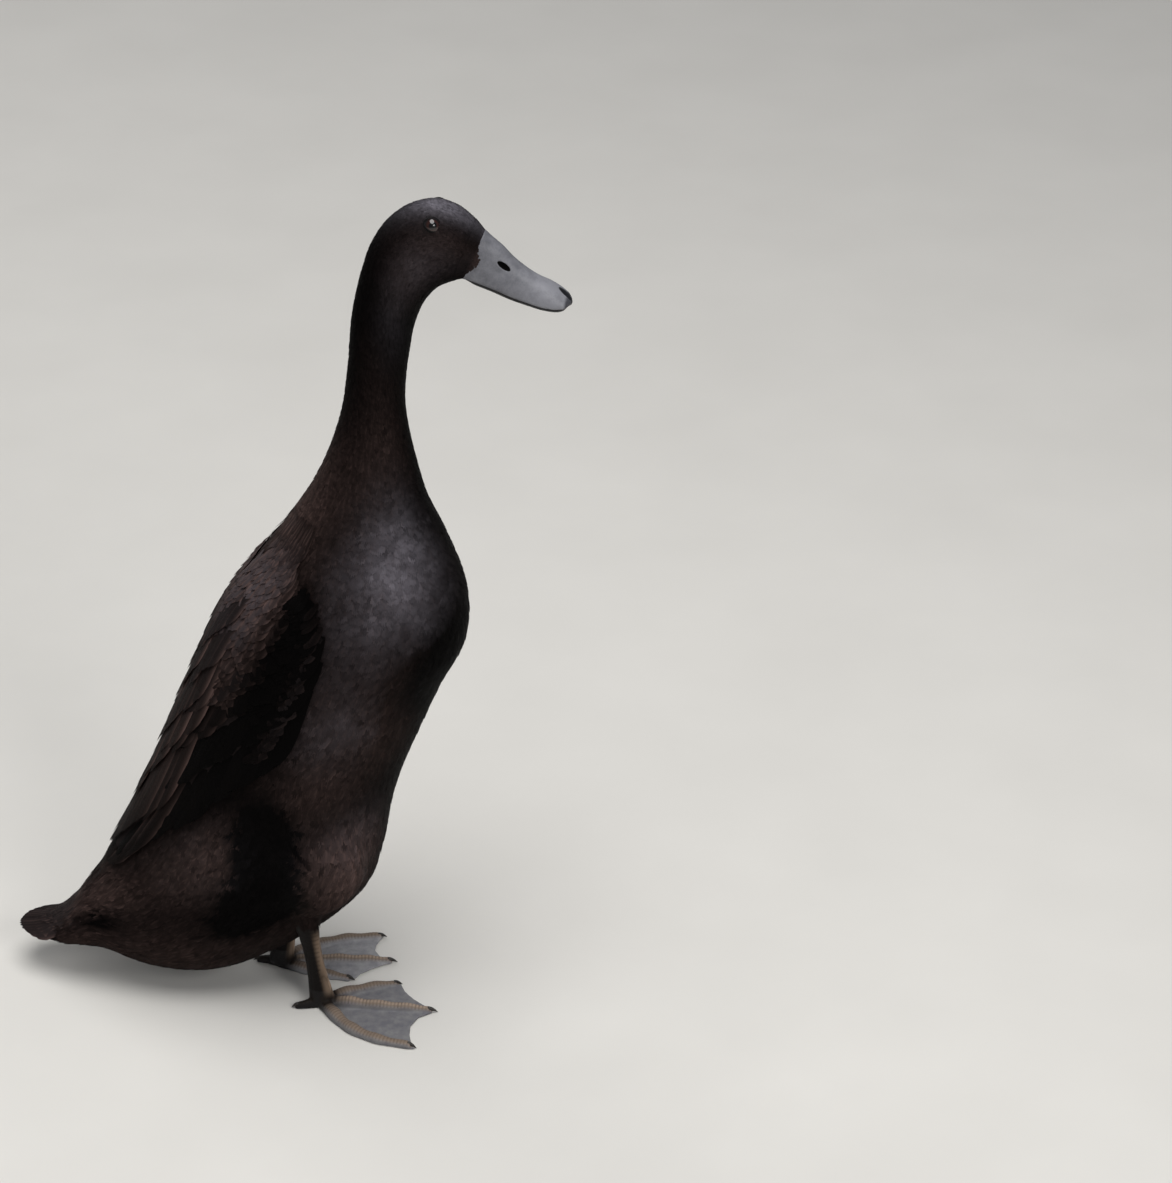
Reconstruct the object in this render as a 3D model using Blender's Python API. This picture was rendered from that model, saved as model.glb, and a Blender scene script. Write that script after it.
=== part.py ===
"""A standing Indian Runner duck, life size.

The bird faces +X with its soles on the floor at z = 0, and the origin is on
the floor under the middle of its length and width. The scene is in metres.
The sizes below are in millimetres and are scaled by MM where a mesh is made.
"""

import math
import random

import bmesh
import bpy
import numpy as np
from mathutils import Matrix, Vector

MM = 0.001
GAP = 0.3

# Upright ovals from the bill's root over the head, neck and trunk to the root of the tail.
# Each row: name, dorsal point (x, z), ventral point (x, z), half width, and the power of the
# oval, where 2 is an ellipse and more is squarer.
BODY = [
    ("bill_root", (132, 551.5), (118, 520), 12.5, 2.1),
    ("face", (125.5, 558.5), (111, 518), 16.5, 2.3),
    ("brow", (115, 565.5), (104.5, 515), 19, 2.6),
    ("crown", (102, 568.5), (99.5, 509.5), 20.5, 2.6),
    ("hind_crown", (88, 565.5), (95.5, 503), 20.5, 2.4),
    ("nape", (75, 556.5), (92, 495), 19.5, 2.2),
    ("upper_nape", (64.5, 541.5), (88.5, 484), 18, 2),
    ("throat", (57.5, 522), (86, 470), 17, 2),
    ("upper_neck", (51, 494), (83.5, 453), 16.5, 2),
    ("mid_neck", (47.5, 461), (82.5, 432), 17, 2),
    ("low_neck", (43, 430), (85, 411), 19, 2),
    ("neck_base", (36, 406), (89, 391), 24, 2),
    ("collar", (24, 378), (95.5, 365), 33, 2),
    ("shoulder", (5, 347), (107.5, 337), 45, 2),
    ("breast", (-15, 319), (118, 303), 55, 2),
    ("keel", (-33, 292), (116.5, 271), 59.5, 2),
    ("flank", (-47, 262), (102, 239), 61.5, 2),
    ("mid_body", (-60, 230), (89, 206), 61.5, 2),
    ("belly", (-74, 195), (76, 173), 60, 2),
    ("low_belly", (-88, 161), (67.5, 143), 57.5, 2),
    ("hip", (-104, 127), (62, 113), 54, 2),
    ("thigh", (-117, 103), (50, 80), 50, 2),
    ("vent_front", (-124, 89), (-3, 33), 46, 2),
    ("vent", (-129, 80), (-46, 12), 42, 2),
    ("tail_under", (-134.5, 71.5), (-85, 11), 36, 2),
    ("tail_root", (-140.5, 62.5), (-117, 21.5), 31, 2),
]
# Where the body is parted, with the spacing of its rings and the sides of each ring.
BODY_PARTS = [
    ("head", "bill_root", "upper_nape", 5, 22),
    ("neck_upper", "upper_nape", "mid_neck", 10, 20),
    ("neck_lower", "mid_neck", "collar", 10, 24),
    ("torso", "collar", "hip", 15, 28),
    ("rump", "hip", "tail_root", 15, 28),
]
TAIL = [
    ("root", (-140.5, 62.5), (-117, 21.5), 31, 2),
    ("coverts", (-147, 52), (-133, 24), 29, 2),
    ("quills", (-154.5, 43.4), (-147.5, 23.6), 25, 2),
    ("fan", (-161.8, 37.6), (-158.3, 24), 21, 2),
    ("fan_middle", (-169, 34.5), (-167, 25.1), 16, 2),
    ("fan_end", (-176.5, 32.6), (-175.5, 26.6), 9.5, 2),
    ("near_tip", (-182.2, 31.4), (-181.8, 28.2), 4, 2),
    ("tip", (-184, 30.4), (-183.9, 29.6), 1.5, 2),
]

# The folded wing lies on the body. Each row: distance along the body's middle line,
# turn from the back to its lower edge, turn to its upper edge (degrees), thickness of its core.
WING = [
    (254, 50, 32, 0.8),
    (262, 63, 18, 2.4),
    (280, 75, 12, 4.2),
    (305, 80, 10, 5),
    (350, 82, 10, 4.8),
    (381, 77, 10, 4.4),
    (406, 70, 10, 3.8),
    (440, 52, 10, 3.2),
    (470, 37, 10, 2.4),
    (496, 27, 14, 1.2),
]
WING_EDGE_THICK = 0.8
WING_SINK = 3.0
WING_RINGS, WING_TOP_POINTS = 15, 8
MM_PER_DEGREE = 1.1

# The feathers of one wing in tiers, the lowest first. Each tier: the tips of its first and last
# vane as (along, turn), a bow that lifts the middle tips outwards, how many vanes there are, their
# length, half width, drift of the turn from root to tip, height of the tips over the core, what
# each next vane adds to it, and the tuck, by which a vane's lower edge is over its upper one.
WING_TIERS = {
    "primary": ((527, 21), (486, 34), 0, 4, 78, 5.2, -15, 0.3, 0.9, 0.2),
    "secondary": ((468, 42), (384, 83), 3, 6, 62, 7.8, -4, 1.4, 0, 1.0),
    "greater_covert": ((436, 34), (344, 81), 2, 7, 48, 7.8, -4, 1.5, 0, 1.0),
    "median_covert": ((404, 28), (318, 78), 2, 6, 44, 9, -3, 1.6, 0, 0.9),
    "lesser_covert": ((366, 26), (295, 71), 2, 5, 38, 9.5, -2, 1.7, 0, 0.8),
    "tertial": ((452, 36), (502, 15), 0, 4, 88, 8.8, -3, 2.6, 0.3, 1.1),
    "scapular": ((352, 24), (446, 14), 0, 4, 58, 9.5, -2, 2.6, 0.2, 0.5),
}
# Rows of a vane: share of its length at the edges, the same at the shaft, share of its half width.
LONG_VANE = [(0, 0, 0.5), (0.38, 0.38, 0.9), (0.78, 0.8, 1), (0.95, 1, 0.5)]
SHORT_VANE = [(0, 0, 0.6), (0.64, 0.66, 1), (0.92, 1, 0.55)]
SHORT_LIMIT = 60
VANE_SHAFT_THICK, VANE_EDGE_THICK = 0.85, 0.6
VANE_SINK, VANE_RISES = 1.8, 0.6
LEAST_LIFT = 0.5
SEED = 7

# The tail's feathers on each side, from the middle outwards: distance from the bird's middle at
# the root and at the tip, share of the tail's length at the tip, half width.
TAIL_CORE_END, TAIL_CORE_INSET, TAIL_LEAST_WIDE = 0.7, 1.6, 16
RECTRICES = [(3, 3.8, 1.0, 5.5), (8.5, 9.5, 0.93, 5.5), (14, 14.5, 0.84, 5.2), (20, 20, 0.72, 5)]
UPPER_TAIL_COVERTS = [(0, 0, 0.5, 7), (11, 11, 0.44, 7), (21, 20, 0.36, 6.5)]
UNDER_TAIL_COVERTS = [(0, 0, 0.66, 8), (13, 11, 0.58, 8), (23, 20, 0.46, 7)]
# Each tier: its feathers, 1 on the upper side or -1 on the under, where the roots start, the
# height of the middle tip over the core and what each next one loses of it.
TAIL_TIERS = [
    (RECTRICES, 1, 6, 2.9, 0.95),
    (UPPER_TAIL_COVERTS, 1, 3, 4.0, 1.2),
    (UNDER_TAIL_COVERTS, -1, 3, 2.6, 1.0),
]
TAIL_CORE_STEP, TAIL_CORE_SIDES = 6, 18

BILL_ROOT_TO_TIP = [
    # top (x, z), edge of the mouth (x, z), half width
    ((132.4, 551.3), (120.5, 525), 12.2),
    ((137, 547), (125.5, 523.5), 11.6),
    ((143, 541.8), (132, 520.8), 10.8),
    ((149, 535.2), (139.5, 517.8), 10.3),
    ((156, 529), (149, 513.8), 10.4),
    ((164, 523.4), (159, 510.8), 11),
    ((173, 519), (170, 508), 11.4),
    ((180, 514.6), (178.5, 507.2), 10.2),
    ((184, 510.8), (183.5, 507.6), 7.4),
    ((185.6, 508.8), (185.5, 508.2), 3.2),
]
# The bill's section: power of its arch, width of its underside, and its rise in either half.
BILL_ARCH, BILL_UNDER_WIDE, UPPER_BILL_LOW, LOWER_BILL_LOW = 0.8, 0.5, 0.06, 0.02
UPPER_BILL_POINTS, LOWER_BILL_POINTS = 9, 7
# The lower bill: its thickness, the most of it as a share of the width, and its share of the width.
LOWER_BILL_THICK, LOWER_BILL_MOST, LOWER_BILL_WIDE = 4.4, 0.55, 0.9
MOUTH_GAP = 0.5
NAIL_AT, NAIL_SIZE = (181.2, 0, 511.2), (6.2, 4.6, 3.0)
NOSTRIL_AT, NOSTRIL_SIZE = (145.5, 8.6, 532.6), (4.6, 2.4, 2.1)
BILL_SLOPE = math.radians(36)

EYE_RADIUS = 6.0
EYE_AT = (102.9, 12.2, 558.8)
LID_RADIUS, LID_THICK, LID_OUT = 5.0, 1.5, 3.6
LID_YAW, LID_ROLL = math.radians(14), math.radians(24)

# The feet: the ankle on the floor plan, degrees the foot is turned out, and the share of the
# toes' full spread.
FEET = {"r": ((22.4, -27), 0, 1.0), "l": ((-12, 14), 9, 0.72)}
ANKLE_Z = 8.0
ANKLE_SIZE = (8, 7.4)
HOCK = {"r": (-8.5, -3, 70), "l": (12, 12, 70)}
# Sections of the shank from the hock to the ankle: share of the way, fore and aft radius,
# side radius.
SHANK = [
    (0, 7.6, 5.4),
    (0.12, 7.8, 5.7),
    (0.28, 6.6, 4.8),
    (0.55, 5.8, 4.3),
    (0.8, 6.0, 4.6),
    (1, 7.0, 5.8),
]
SHANK_SIDES, THIGH_SIDES = 14, 18
# Sections of the feathered leg above the hock: centre from the hock, fore and aft radius, side radius.
THIGH = [
    ((0, 0, 0.3), 8.4, 6.4),
    ((4, 1, 6), 13, 9.5),
    ((12, 3, 18), 23, 15),
    ((16, 5, 34), 28, 20),
    ((14, 7, 54), 27, 21.5),
    ((9, 2, 74), 23, 17.5),
    ((4, -5, 92), 16, 12),
    ((1, -12, 104), 8, 7),
]
# Toes as runs of points from the ankle (forward, outward), with height and half width at each.
TOES = {
    "outer": [
        (0, 0, 7.4, 4.6), (10, 13, 7.2, 4.2), (24, 27, 6.2, 3.9), (42, 36, 5.4, 3.5), (64, 40, 4.2, 2.7),
    ],
    "middle": [
        (0, 0, 7.6, 4.8), (17, 0.5, 7.5, 4.4), (35, 1, 6.6, 4), (53, 0.5, 5.8, 3.6), (70, 0, 4.4, 2.8),
    ],
    "inner": [
        (0, 0, 7.2, 4.6), (11, -9, 6.9, 4), (23, -17, 5.8, 3.6), (34, -22.5, 5.2, 3.2), (44, -26.5, 4, 2.6),
    ],
    "hind": [(0, 0, 7, 4.2), (-6, 3, 7, 3.4), (-11, 5, 5.6, 2.6), (-15, 6, 4.2, 1.9)],
}
# The arch of a toe over its sole, as shares of its half width and height, and the toe's end:
# how far it runs on and its shares of the height and half width.
TOE_ARCH = [(-1, 0), (-0.96, 0.55), (-0.5, 0.93), (0, 1), (0.5, 0.93), (0.96, 0.55), (1, 0)]
TOE_END, TOE_END_HIGH, TOE_END_WIDE = 2.2, 0.72, 0.6
# The edge of the web between the toes' ends, from the outer toe round to the inner.
WEB = [
    (2, 7), (12, 16.5), (25, 29.5), (43, 38.5), (66, 42), (61, 30), (59, 20), (62, 10), (68, 0),
    (60, -8), (52, -15), (47, -21), (45.5, -28), (33, -25), (21, -18.5), (9, -10.5), (0, -6),
]
WEB_THICK = 1.5
CLAW_LONG = {"outer": 7, "middle": 8, "inner": 6.5, "hind": 4.5}
CLAW_THICK, CLAW_TIP_THICK, CLAW_DROP, CLAW_RAISE = 2.0, 0.35, 0.12, 0.5
# Boxes that level the foot at the floor and under the shank.
LEVEL_WIDE, LEVEL_HIGH = 200, 40

# Colour, roughness and metallic of each part, by the start of its name.
LOOKS = {
    "head": ((0.014, 0.014, 0.015), 0.62, 0),
    "neck": ((0.010, 0.009, 0.010), 0.68, 0),
    "torso": ((0.011, 0.010, 0.011), 0.66, 0),
    "rump": ((0.016, 0.012, 0.012), 0.72, 0),
    "thigh": ((0.013, 0.011, 0.011), 0.72, 0),
    "wing": ((0.013, 0.011, 0.012), 0.58, 0),
    "tail": ((0.014, 0.012, 0.012), 0.6, 0),
    "bill_upper": ((0.105, 0.110, 0.125), 0.42, 0),
    "bill_lower": ((0.045, 0.046, 0.052), 0.46, 0),
    "bill_nail": ((0.010, 0.010, 0.011), 0.35, 0),
    "eye": ((0.020, 0.007, 0.005), 0.06, 0),
    "shank": ((0.034, 0.021, 0.014), 0.5, 0),
    "foot": ((0.060, 0.062, 0.073), 0.52, 0),
    "claw": ((0.012, 0.011, 0.011), 0.38, 0),
}
SHARP_ANGLE = math.radians(42)


def clear_scene():
    for old in list(bpy.data.objects):
        bpy.data.objects.remove(old)


def make_collection(name):
    made = bpy.data.collections.new(name)
    bpy.context.scene.collection.children.link(made)
    return made


def add_mesh(name, shape, where):
    """Puts a bmesh in a new object, with its faces turned outwards."""
    bmesh.ops.recalc_face_normals(shape, faces=shape.faces)
    mesh = bpy.data.meshes.new(name)
    shape.to_mesh(mesh)
    shape.free()
    made = bpy.data.objects.new(name, mesh)
    where.objects.link(made)
    made.hide_render = where.hide_render
    made.display_type = "WIRE" if where.hide_render else "TEXTURED"
    return made


def hermite(values, knots, at):
    """Smooth curve through the values at the knots, one row of values for each place in at."""
    values = np.asarray(values, float)
    knots = np.asarray(knots, float)
    slopes = np.gradient(values, knots, axis=0)
    at = np.clip(np.atleast_1d(at), knots[0], knots[-1])
    cell = np.clip(np.searchsorted(knots, at, side="right") - 1, 0, len(knots) - 2)
    span = (knots[cell + 1] - knots[cell])[:, None]
    s = ((at - knots[cell]) / span[:, 0])[:, None]
    start = (2 * s**3 - 3 * s**2 + 1) * values[cell] + (s**3 - 2 * s**2 + s) * span * slopes[cell]
    end = (3 * s**2 - 2 * s**3) * values[cell + 1] + (s**3 - s**2) * span * slopes[cell + 1]
    return start + end


class Ovals:
    """A run of upright ovals, placed by the distance along their middle line."""

    def __init__(self, rows):
        self.names = [row[0] for row in rows]
        self.values = np.array([[*row[1], *row[2], *row[3:]] for row in rows], float)
        middle = (self.values[:, 0:2] + self.values[:, 2:4]) / 2
        steps = np.linalg.norm(np.diff(middle, axis=0), axis=1)
        self.knots = np.concatenate([[0], np.cumsum(steps)])

    def at(self, name):
        return self.knots[self.names.index(name)]

    def oval(self, along):
        """Centre, half depth as a vector to the back, half width and power."""
        dx, dz, vx, vz, wide, power = hermite(self.values, self.knots, along)[0]
        return Vector((dx + vx, 0, dz + vz)) / 2, Vector((dx - vx, 0, dz - vz)) / 2, wide, power

    def point(self, along, turn, lift=0.0):
        """The surface point at a turn in degrees from the back towards +Y, raised by lift."""
        centre, deep, wide, power = self.oval(along)
        deep *= 1 + lift / deep.length
        angle = math.radians(turn)
        up, out = (
            math.copysign(abs(part) ** (2 / power), part) for part in (math.cos(angle), math.sin(angle)))
        return centre + deep * up + Vector((0, (wide + lift) * out, 0))

    def rings(self, start, end, step, sides, lift=0.0):
        count = max(2, round((end - start) / step) + 1)
        turns = [360 * k / sides for k in range(sides)]
        places = np.linspace(start, end, count)
        return [[self.point(along, turn, lift) for turn in turns] for along in places]


def loft(name, rings, where):
    """A closed solid through rings of equal count, given in millimetres."""
    shape = bmesh.new()
    rows = [[shape.verts.new(point * MM) for point in ring] for ring in rings]
    sides = len(rows[0])
    for low, high in zip(rows, rows[1:]):
        for k in range(sides):
            shape.faces.new((low[k], low[(k + 1) % sides], high[(k + 1) % sides], high[k]))
    shape.faces.new(rows[0])
    shape.faces.new(rows[-1])
    return add_mesh(name, shape, where)


def apply_modifiers(obj):
    graph = bpy.context.evaluated_depsgraph_get()
    mesh = bpy.data.meshes.new_from_object(obj.evaluated_get(graph))
    obj.modifiers.clear()
    obj.data = mesh


def keep_largest(obj):
    """Leaves the closed surface of the greatest volume, which drops scraps and fills sealed hollows."""
    shape = bmesh.new()
    shape.from_mesh(obj.data)
    left, islands = set(shape.faces), []
    while left:
        island, edge_of = set(), [left.pop()]
        while edge_of:
            face = edge_of.pop()
            island.add(face)
            near = {other for edge in face.edges for other in edge.link_faces} & left
            left -= near
            edge_of.extend(near)
        volume = 0.0
        for face in island:
            first = face.verts[0].co
            for a, b in zip(face.verts[1:], face.verts[2:]):
                volume += first.dot(a.co.cross(b.co))
        islands.append((abs(volume), island))
    islands.sort(key=lambda pair: pair[0])
    loose = [face for _, island in islands[:-1] for face in island]
    bmesh.ops.delete(shape, geom=loose, context="FACES")
    shape.to_mesh(obj.data)
    shape.free()


def combine(obj, others, operation, solver="EXACT"):
    """Cuts or joins the other objects to obj with one Boolean, applies it and removes them."""
    group = bpy.data.collections.new("combine")
    for other in others:
        group.objects.link(other)
    boolean = obj.modifiers.new(operation.title(), "BOOLEAN")
    boolean.operation = operation
    boolean.operand_type = "COLLECTION"
    boolean.collection = group
    boolean.solver = solver
    apply_modifiers(obj)
    for other in others:
        bpy.data.objects.remove(other)
    bpy.data.collections.remove(group)
    keep_largest(obj)


def mirrored(obj, name, where):
    """A copy of obj on the other side of the bird."""
    shape = bmesh.new()
    shape.from_mesh(obj.data)
    bmesh.ops.scale(shape, vec=(1, -1, 1), verts=shape.verts)
    bmesh.ops.reverse_faces(shape, faces=shape.faces)
    return add_mesh(name, shape, where)


def ball(name, at, size, where, sides=16, turn=None):
    """An ellipsoid with radii size at a point, both in millimetres, turned by a matrix."""
    shape = bmesh.new()
    bmesh.ops.create_uvsphere(shape, u_segments=sides, v_segments=sides // 2 + 1, radius=1)
    stretch = Matrix.Diagonal((*(Vector(size) * MM), 1))
    place = Matrix.Translation(Vector(at) * MM) @ (turn or Matrix()) @ stretch
    bmesh.ops.transform(shape, matrix=place, verts=shape.verts)
    return add_mesh(name, shape, where)


def make_body(parts, body):
    made = {}
    for name, start, end, step, sides in BODY_PARTS:
        first, last = body.at(start) + GAP / 2, body.at(end) - GAP / 2
        made[name] = loft(name, body.rings(first, last, step, sides), parts)
    return made


def body_cutter(body, cutters):
    """The torso and rump, grown by the gap that a touching piece keeps."""
    rings = []
    for name, start, end, step, sides in BODY_PARTS[-2:]:
        rings += body.rings(body.at(start) + GAP / 2, body.at(end) - GAP / 2, step, sides, GAP)
    return loft("body_cutter", rings, cutters)


def cut_head(head, cutters):
    """Adds the lids and cuts the eye sockets."""
    lids, sockets = [], []
    for side in (1, -1):
        x, y, z = EYE_AT
        facing = Vector((math.sin(LID_YAW), side * math.cos(LID_YAW), math.sin(LID_ROLL))).normalized()
        centre = Vector((x, side * y, z)) + facing * LID_OUT
        bpy.ops.mesh.primitive_torus_add(
            major_radius=LID_RADIUS * MM, minor_radius=LID_THICK * MM, major_segments=16, minor_segments=6,
            location=centre * MM, rotation=facing.to_track_quat("Z", "Y").to_euler())
        lid = bpy.context.object
        lid.data.transform(lid.matrix_world)
        lid.matrix_world = Matrix()
        lids.append(lid)
        sockets.append(ball("socket", (x, side * y, z), (EYE_RADIUS + GAP,) * 3, cutters, 16))
    combine(head, lids, "UNION")
    combine(head, sockets, "DIFFERENCE")


def bill_section(top, edge, wide, low, sides):
    """A ring with an arched top between the mouth's edges and an almost flat underside."""
    (tx, tz), (ex, ez) = top, edge
    base, rise = Vector((ex, 0, ez)), Vector((tx - ex, 0, tz - ez))
    ring = []
    for k in range(sides):
        angle = math.pi * k / (sides - 1)
        side = wide * math.copysign(abs(math.cos(angle)) ** BILL_ARCH, math.cos(angle))
        ring.append(base + rise * math.sin(angle) + Vector((0, side, 0)))
    for side in (-1, 1):
        ring.append(base + rise * low + Vector((0, side * wide * BILL_UNDER_WIDE, 0)))
    return ring


def make_bill(parts, cutters):
    upper_rings = [bill_section(*row, UPPER_BILL_LOW, UPPER_BILL_POINTS) for row in BILL_ROOT_TO_TIP]
    upper = loft("bill_upper", upper_rings, parts)
    lower_rings = []
    for (tx, tz), (ex, ez), wide in BILL_ROOT_TO_TIP[:-1]:
        rise = Vector((tx - ex, 0, tz - ez)).normalized()
        near = Vector((ex, 0, ez)) - rise * MOUTH_GAP
        far = near - rise * min(LOWER_BILL_THICK, wide * LOWER_BILL_MOST)
        lower_rings.append(bill_section(
            (far.x, far.z), (near.x, near.z), wide * LOWER_BILL_WIDE, LOWER_BILL_LOW, LOWER_BILL_POINTS))
    loft("bill_lower", lower_rings, parts)
    turn = Matrix.Rotation(BILL_SLOPE, 4, "Y")
    grown = [size + GAP for size in NAIL_SIZE]
    ball("bill_nail", NAIL_AT, NAIL_SIZE, parts, 14, turn)
    combine(upper, [ball("nail_cutter", NAIL_AT, grown, cutters, 14, turn)], "DIFFERENCE")
    nostrils = []
    for side in (1, -1):
        x, y, z = NOSTRIL_AT
        nostrils.append(ball("nostril", (x, side * y, z), NOSTRIL_SIZE, cutters, 12, turn))
    combine(upper, nostrils, "DIFFERENCE")


def make_eyes(parts):
    for name, side in (("eye_l", 1), ("eye_r", -1)):
        x, y, z = EYE_AT
        ball(name, (x, side * y, z), (EYE_RADIUS,) * 3, parts, 16)


class WingForm:
    """The wing's core as a height over the body, which its vanes lie on."""

    def __init__(self, body):
        self.body = body
        self.rows = np.array(WING, float)

    def edges(self, along):
        return hermite(self.rows[:, 1:], self.rows[:, 0], along)[0]

    def height(self, along, turn):
        low, high, thick = self.edges(along)
        q = (turn - low) / (high - low)
        arch = 4 * q * (1 - q)
        if arch <= 0 or not self.rows[0, 0] < along < self.rows[-1, 0]:
            return WING_EDGE_THICK
        return max(WING_EDGE_THICK + (thick - WING_EDGE_THICK) * arch**0.5, WING_EDGE_THICK)

    def core(self, name, where):
        rings = []
        for along in np.linspace(self.rows[0, 0], self.rows[-1, 0], WING_RINGS):
            low, high, _ = self.edges(along)
            turns = np.linspace(low, high, WING_TOP_POINTS)
            ring = [self.body.point(along, turn, self.height(along, turn)) for turn in turns]
            ring += [self.body.point(along, turn, -WING_SINK) for turn in turns[-2:0:-2]]
            rings.append(ring)
        return loft(name, rings, where)

    def place(self, along, across, lift):
        """The point lift over the core, at a distance along and a distance across from the back."""
        turn = across / MM_PER_DEGREE
        return self.body.point(along, turn, self.height(along, turn) + lift)

    def deepest(self, along, across):
        """How far under the core a root may go and still stay off the body."""
        return LEAST_LIFT - self.height(along, across / MM_PER_DEGREE)


def vane(name, form, root, tip, wide, rise, tuck, where):
    """A feather's vane on the surface that form.place(along, across, lift) gives, in millimetres.

    root and tip are (along, across). The root lies under the surface, the tip stands rise over
    it, and the edge that lies further across is higher than the other, so that neighbours overlap.
    """
    ahead, aside = Vector(tip) - Vector(root), Vector((root[1] - tip[1], tip[0] - root[0])).normalized()
    rows = SHORT_VANE if ahead.length < SHORT_LIMIT else LONG_VANE
    shape = bmesh.new()
    lows, highs = [], []
    for edge_share, shaft_share, width_share in rows:
        lows.append([])
        highs.append([])
        for edge in (-1, 0, 1):
            share = edge_share if edge else shaft_share
            along, across = Vector(root) + ahead * share + aside * edge * wide * width_share
            low = -VANE_SINK + (rise + VANE_SINK) * share**VANE_RISES + tuck * edge * min(1, 2 * share)
            low = max(low, form.deepest(along, across))
            thick = VANE_EDGE_THICK if edge else VANE_SHAFT_THICK
            lows[-1].append(shape.verts.new(form.place(along, across, low) * MM))
            highs[-1].append(shape.verts.new(form.place(along, across, low + thick) * MM))
    for layer in (lows, highs):
        for near, far in zip(layer, layer[1:]):
            shape.faces.new((near[0], near[1], far[0]))
            shape.faces.new((near[1], far[1], far[0]))
            shape.faces.new((near[1], near[2], far[2]))
            shape.faces.new((near[1], far[2], far[1]))
    for side in (0, 2):
        for j in range(len(rows) - 1):
            shape.faces.new((lows[j][side], lows[j + 1][side], highs[j + 1][side], highs[j][side]))
    for j in (0, -1):
        for k in (0, 1):
            shape.faces.new((lows[j][k], highs[j][k], highs[j][k + 1], lows[j][k + 1]))
    return add_mesh(name, shape, where)


def make_wings(body, parts, cutters):
    """Both wings, the right one a mirror image of the left."""
    form = WingForm(body)
    left = form.core("wing_l", parts)
    chance = random.Random(SEED)
    vanes = []
    for tier, (first, last, bow, count, long, wide, drift, rise, step, tuck) in WING_TIERS.items():
        for k in range(count):
            share = k / (count - 1)
            along = first[0] + (last[0] - first[0]) * share + chance.uniform(-1.5, 1.5)
            turn = first[1] + (last[1] - first[1]) * share + bow * 4 * share * (1 - share)
            reach = long * chance.uniform(0.96, 1.04)
            tip, root = (along, turn * MM_PER_DEGREE), (along - reach, (turn - drift) * MM_PER_DEGREE)
            vanes.append(vane(f"{tier}_{k}", form, root, tip, wide, rise + step * k, tuck, parts))
    combine(left, vanes, "UNION", "MANIFOLD")
    combine(left, [body_cutter(body, cutters)], "DIFFERENCE", "MANIFOLD")
    mirrored(left, "wing_r", parts)


class TailForm:
    """The upper face of the tail, or its under face with face -1, which its vanes lie on."""

    def __init__(self, ovals, face):
        self.ovals = ovals
        self.face = face

    def place(self, along, across, lift):
        centre, deep, wide, _ = self.ovals.oval(along)
        share = min(abs(across) / max(wide, TAIL_LEAST_WIDE), 0.98)
        high = deep.length * math.sqrt(1 - share**2) - TAIL_CORE_INSET + lift
        return centre + deep.normalized() * self.face * high + Vector((0, across, 0))

    def deepest(self, along, across):
        return -VANE_SINK


def make_tail(parts):
    """A short wedge of graduated feathers, with coverts over and under their quills."""
    ovals = Ovals(TAIL)
    long = ovals.knots[-1]
    rings = ovals.rings(GAP, long * TAIL_CORE_END, TAIL_CORE_STEP, TAIL_CORE_SIDES, -TAIL_CORE_INSET)
    core = loft("tail", rings, parts)
    vanes = []
    for rows, face, start, rise, loss in TAIL_TIERS:
        form = TailForm(ovals, face)
        for k, (root, tip, reach, wide) in enumerate(rows):
            for side in (1, -1) if tip else (1,):
                vanes.append(vane("tail_vane", form, (start, side * root), (long * reach, side * tip),
                                  wide, rise - loss * k, 0, parts))
    combine(core, vanes, "UNION", "MANIFOLD")


def leg_place(side):
    """The ankle, the sign of the outward direction, the foot's turn and its toes' spread."""
    (x, y), turned_out, spread = FEET[side]
    sign = 1 if side == "l" else -1
    return Vector((x, y, 0)), sign, math.radians(turned_out) * sign, spread


def make_leg(side, body, rump, parts, cutters):
    ankle, sign, yaw, spread = leg_place(side)
    hock = ankle + Vector(HOCK[side])

    def ring(centre, fore, across, sides):
        angles = [2 * math.pi * k / sides for k in range(sides)]
        return [centre + Vector((fore * math.cos(a), across * math.sin(a), 0)) for a in angles]

    rings = []
    for (x, y, z), fore, across in THIGH:
        rings.append(ring(hock + Vector((x, sign * y, z + GAP)), fore, across, THIGH_SIDES))
    thigh = loft(f"thigh_{side}", rings, parts)
    combine(thigh, [body_cutter(body, cutters)], "DIFFERENCE")
    foot_top = ankle + Vector((0, 0, ANKLE_Z + GAP))
    for name, grow, where in ((f"shank_{side}", 0, parts), ("socket", GAP, cutters)):
        top, rings = hock + Vector((0, 0, grow)), []
        for share, fore, across in SHANK:
            rings.append(ring(top.lerp(foot_top, share), fore + grow, across + grow, SHANK_SIDES))
        made = loft(name, rings, where)
    combine(rump, [made], "DIFFERENCE")
    make_foot(side, ankle, sign, yaw, spread, parts, cutters)


def toe_ring(point, ahead, high, wide):
    """A low arch over the sole, square to the toe."""
    across = Vector((-ahead.y, ahead.x, 0))
    return [point + across * wide * side + Vector((0, 0, high * up)) for side, up in TOE_ARCH]


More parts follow.
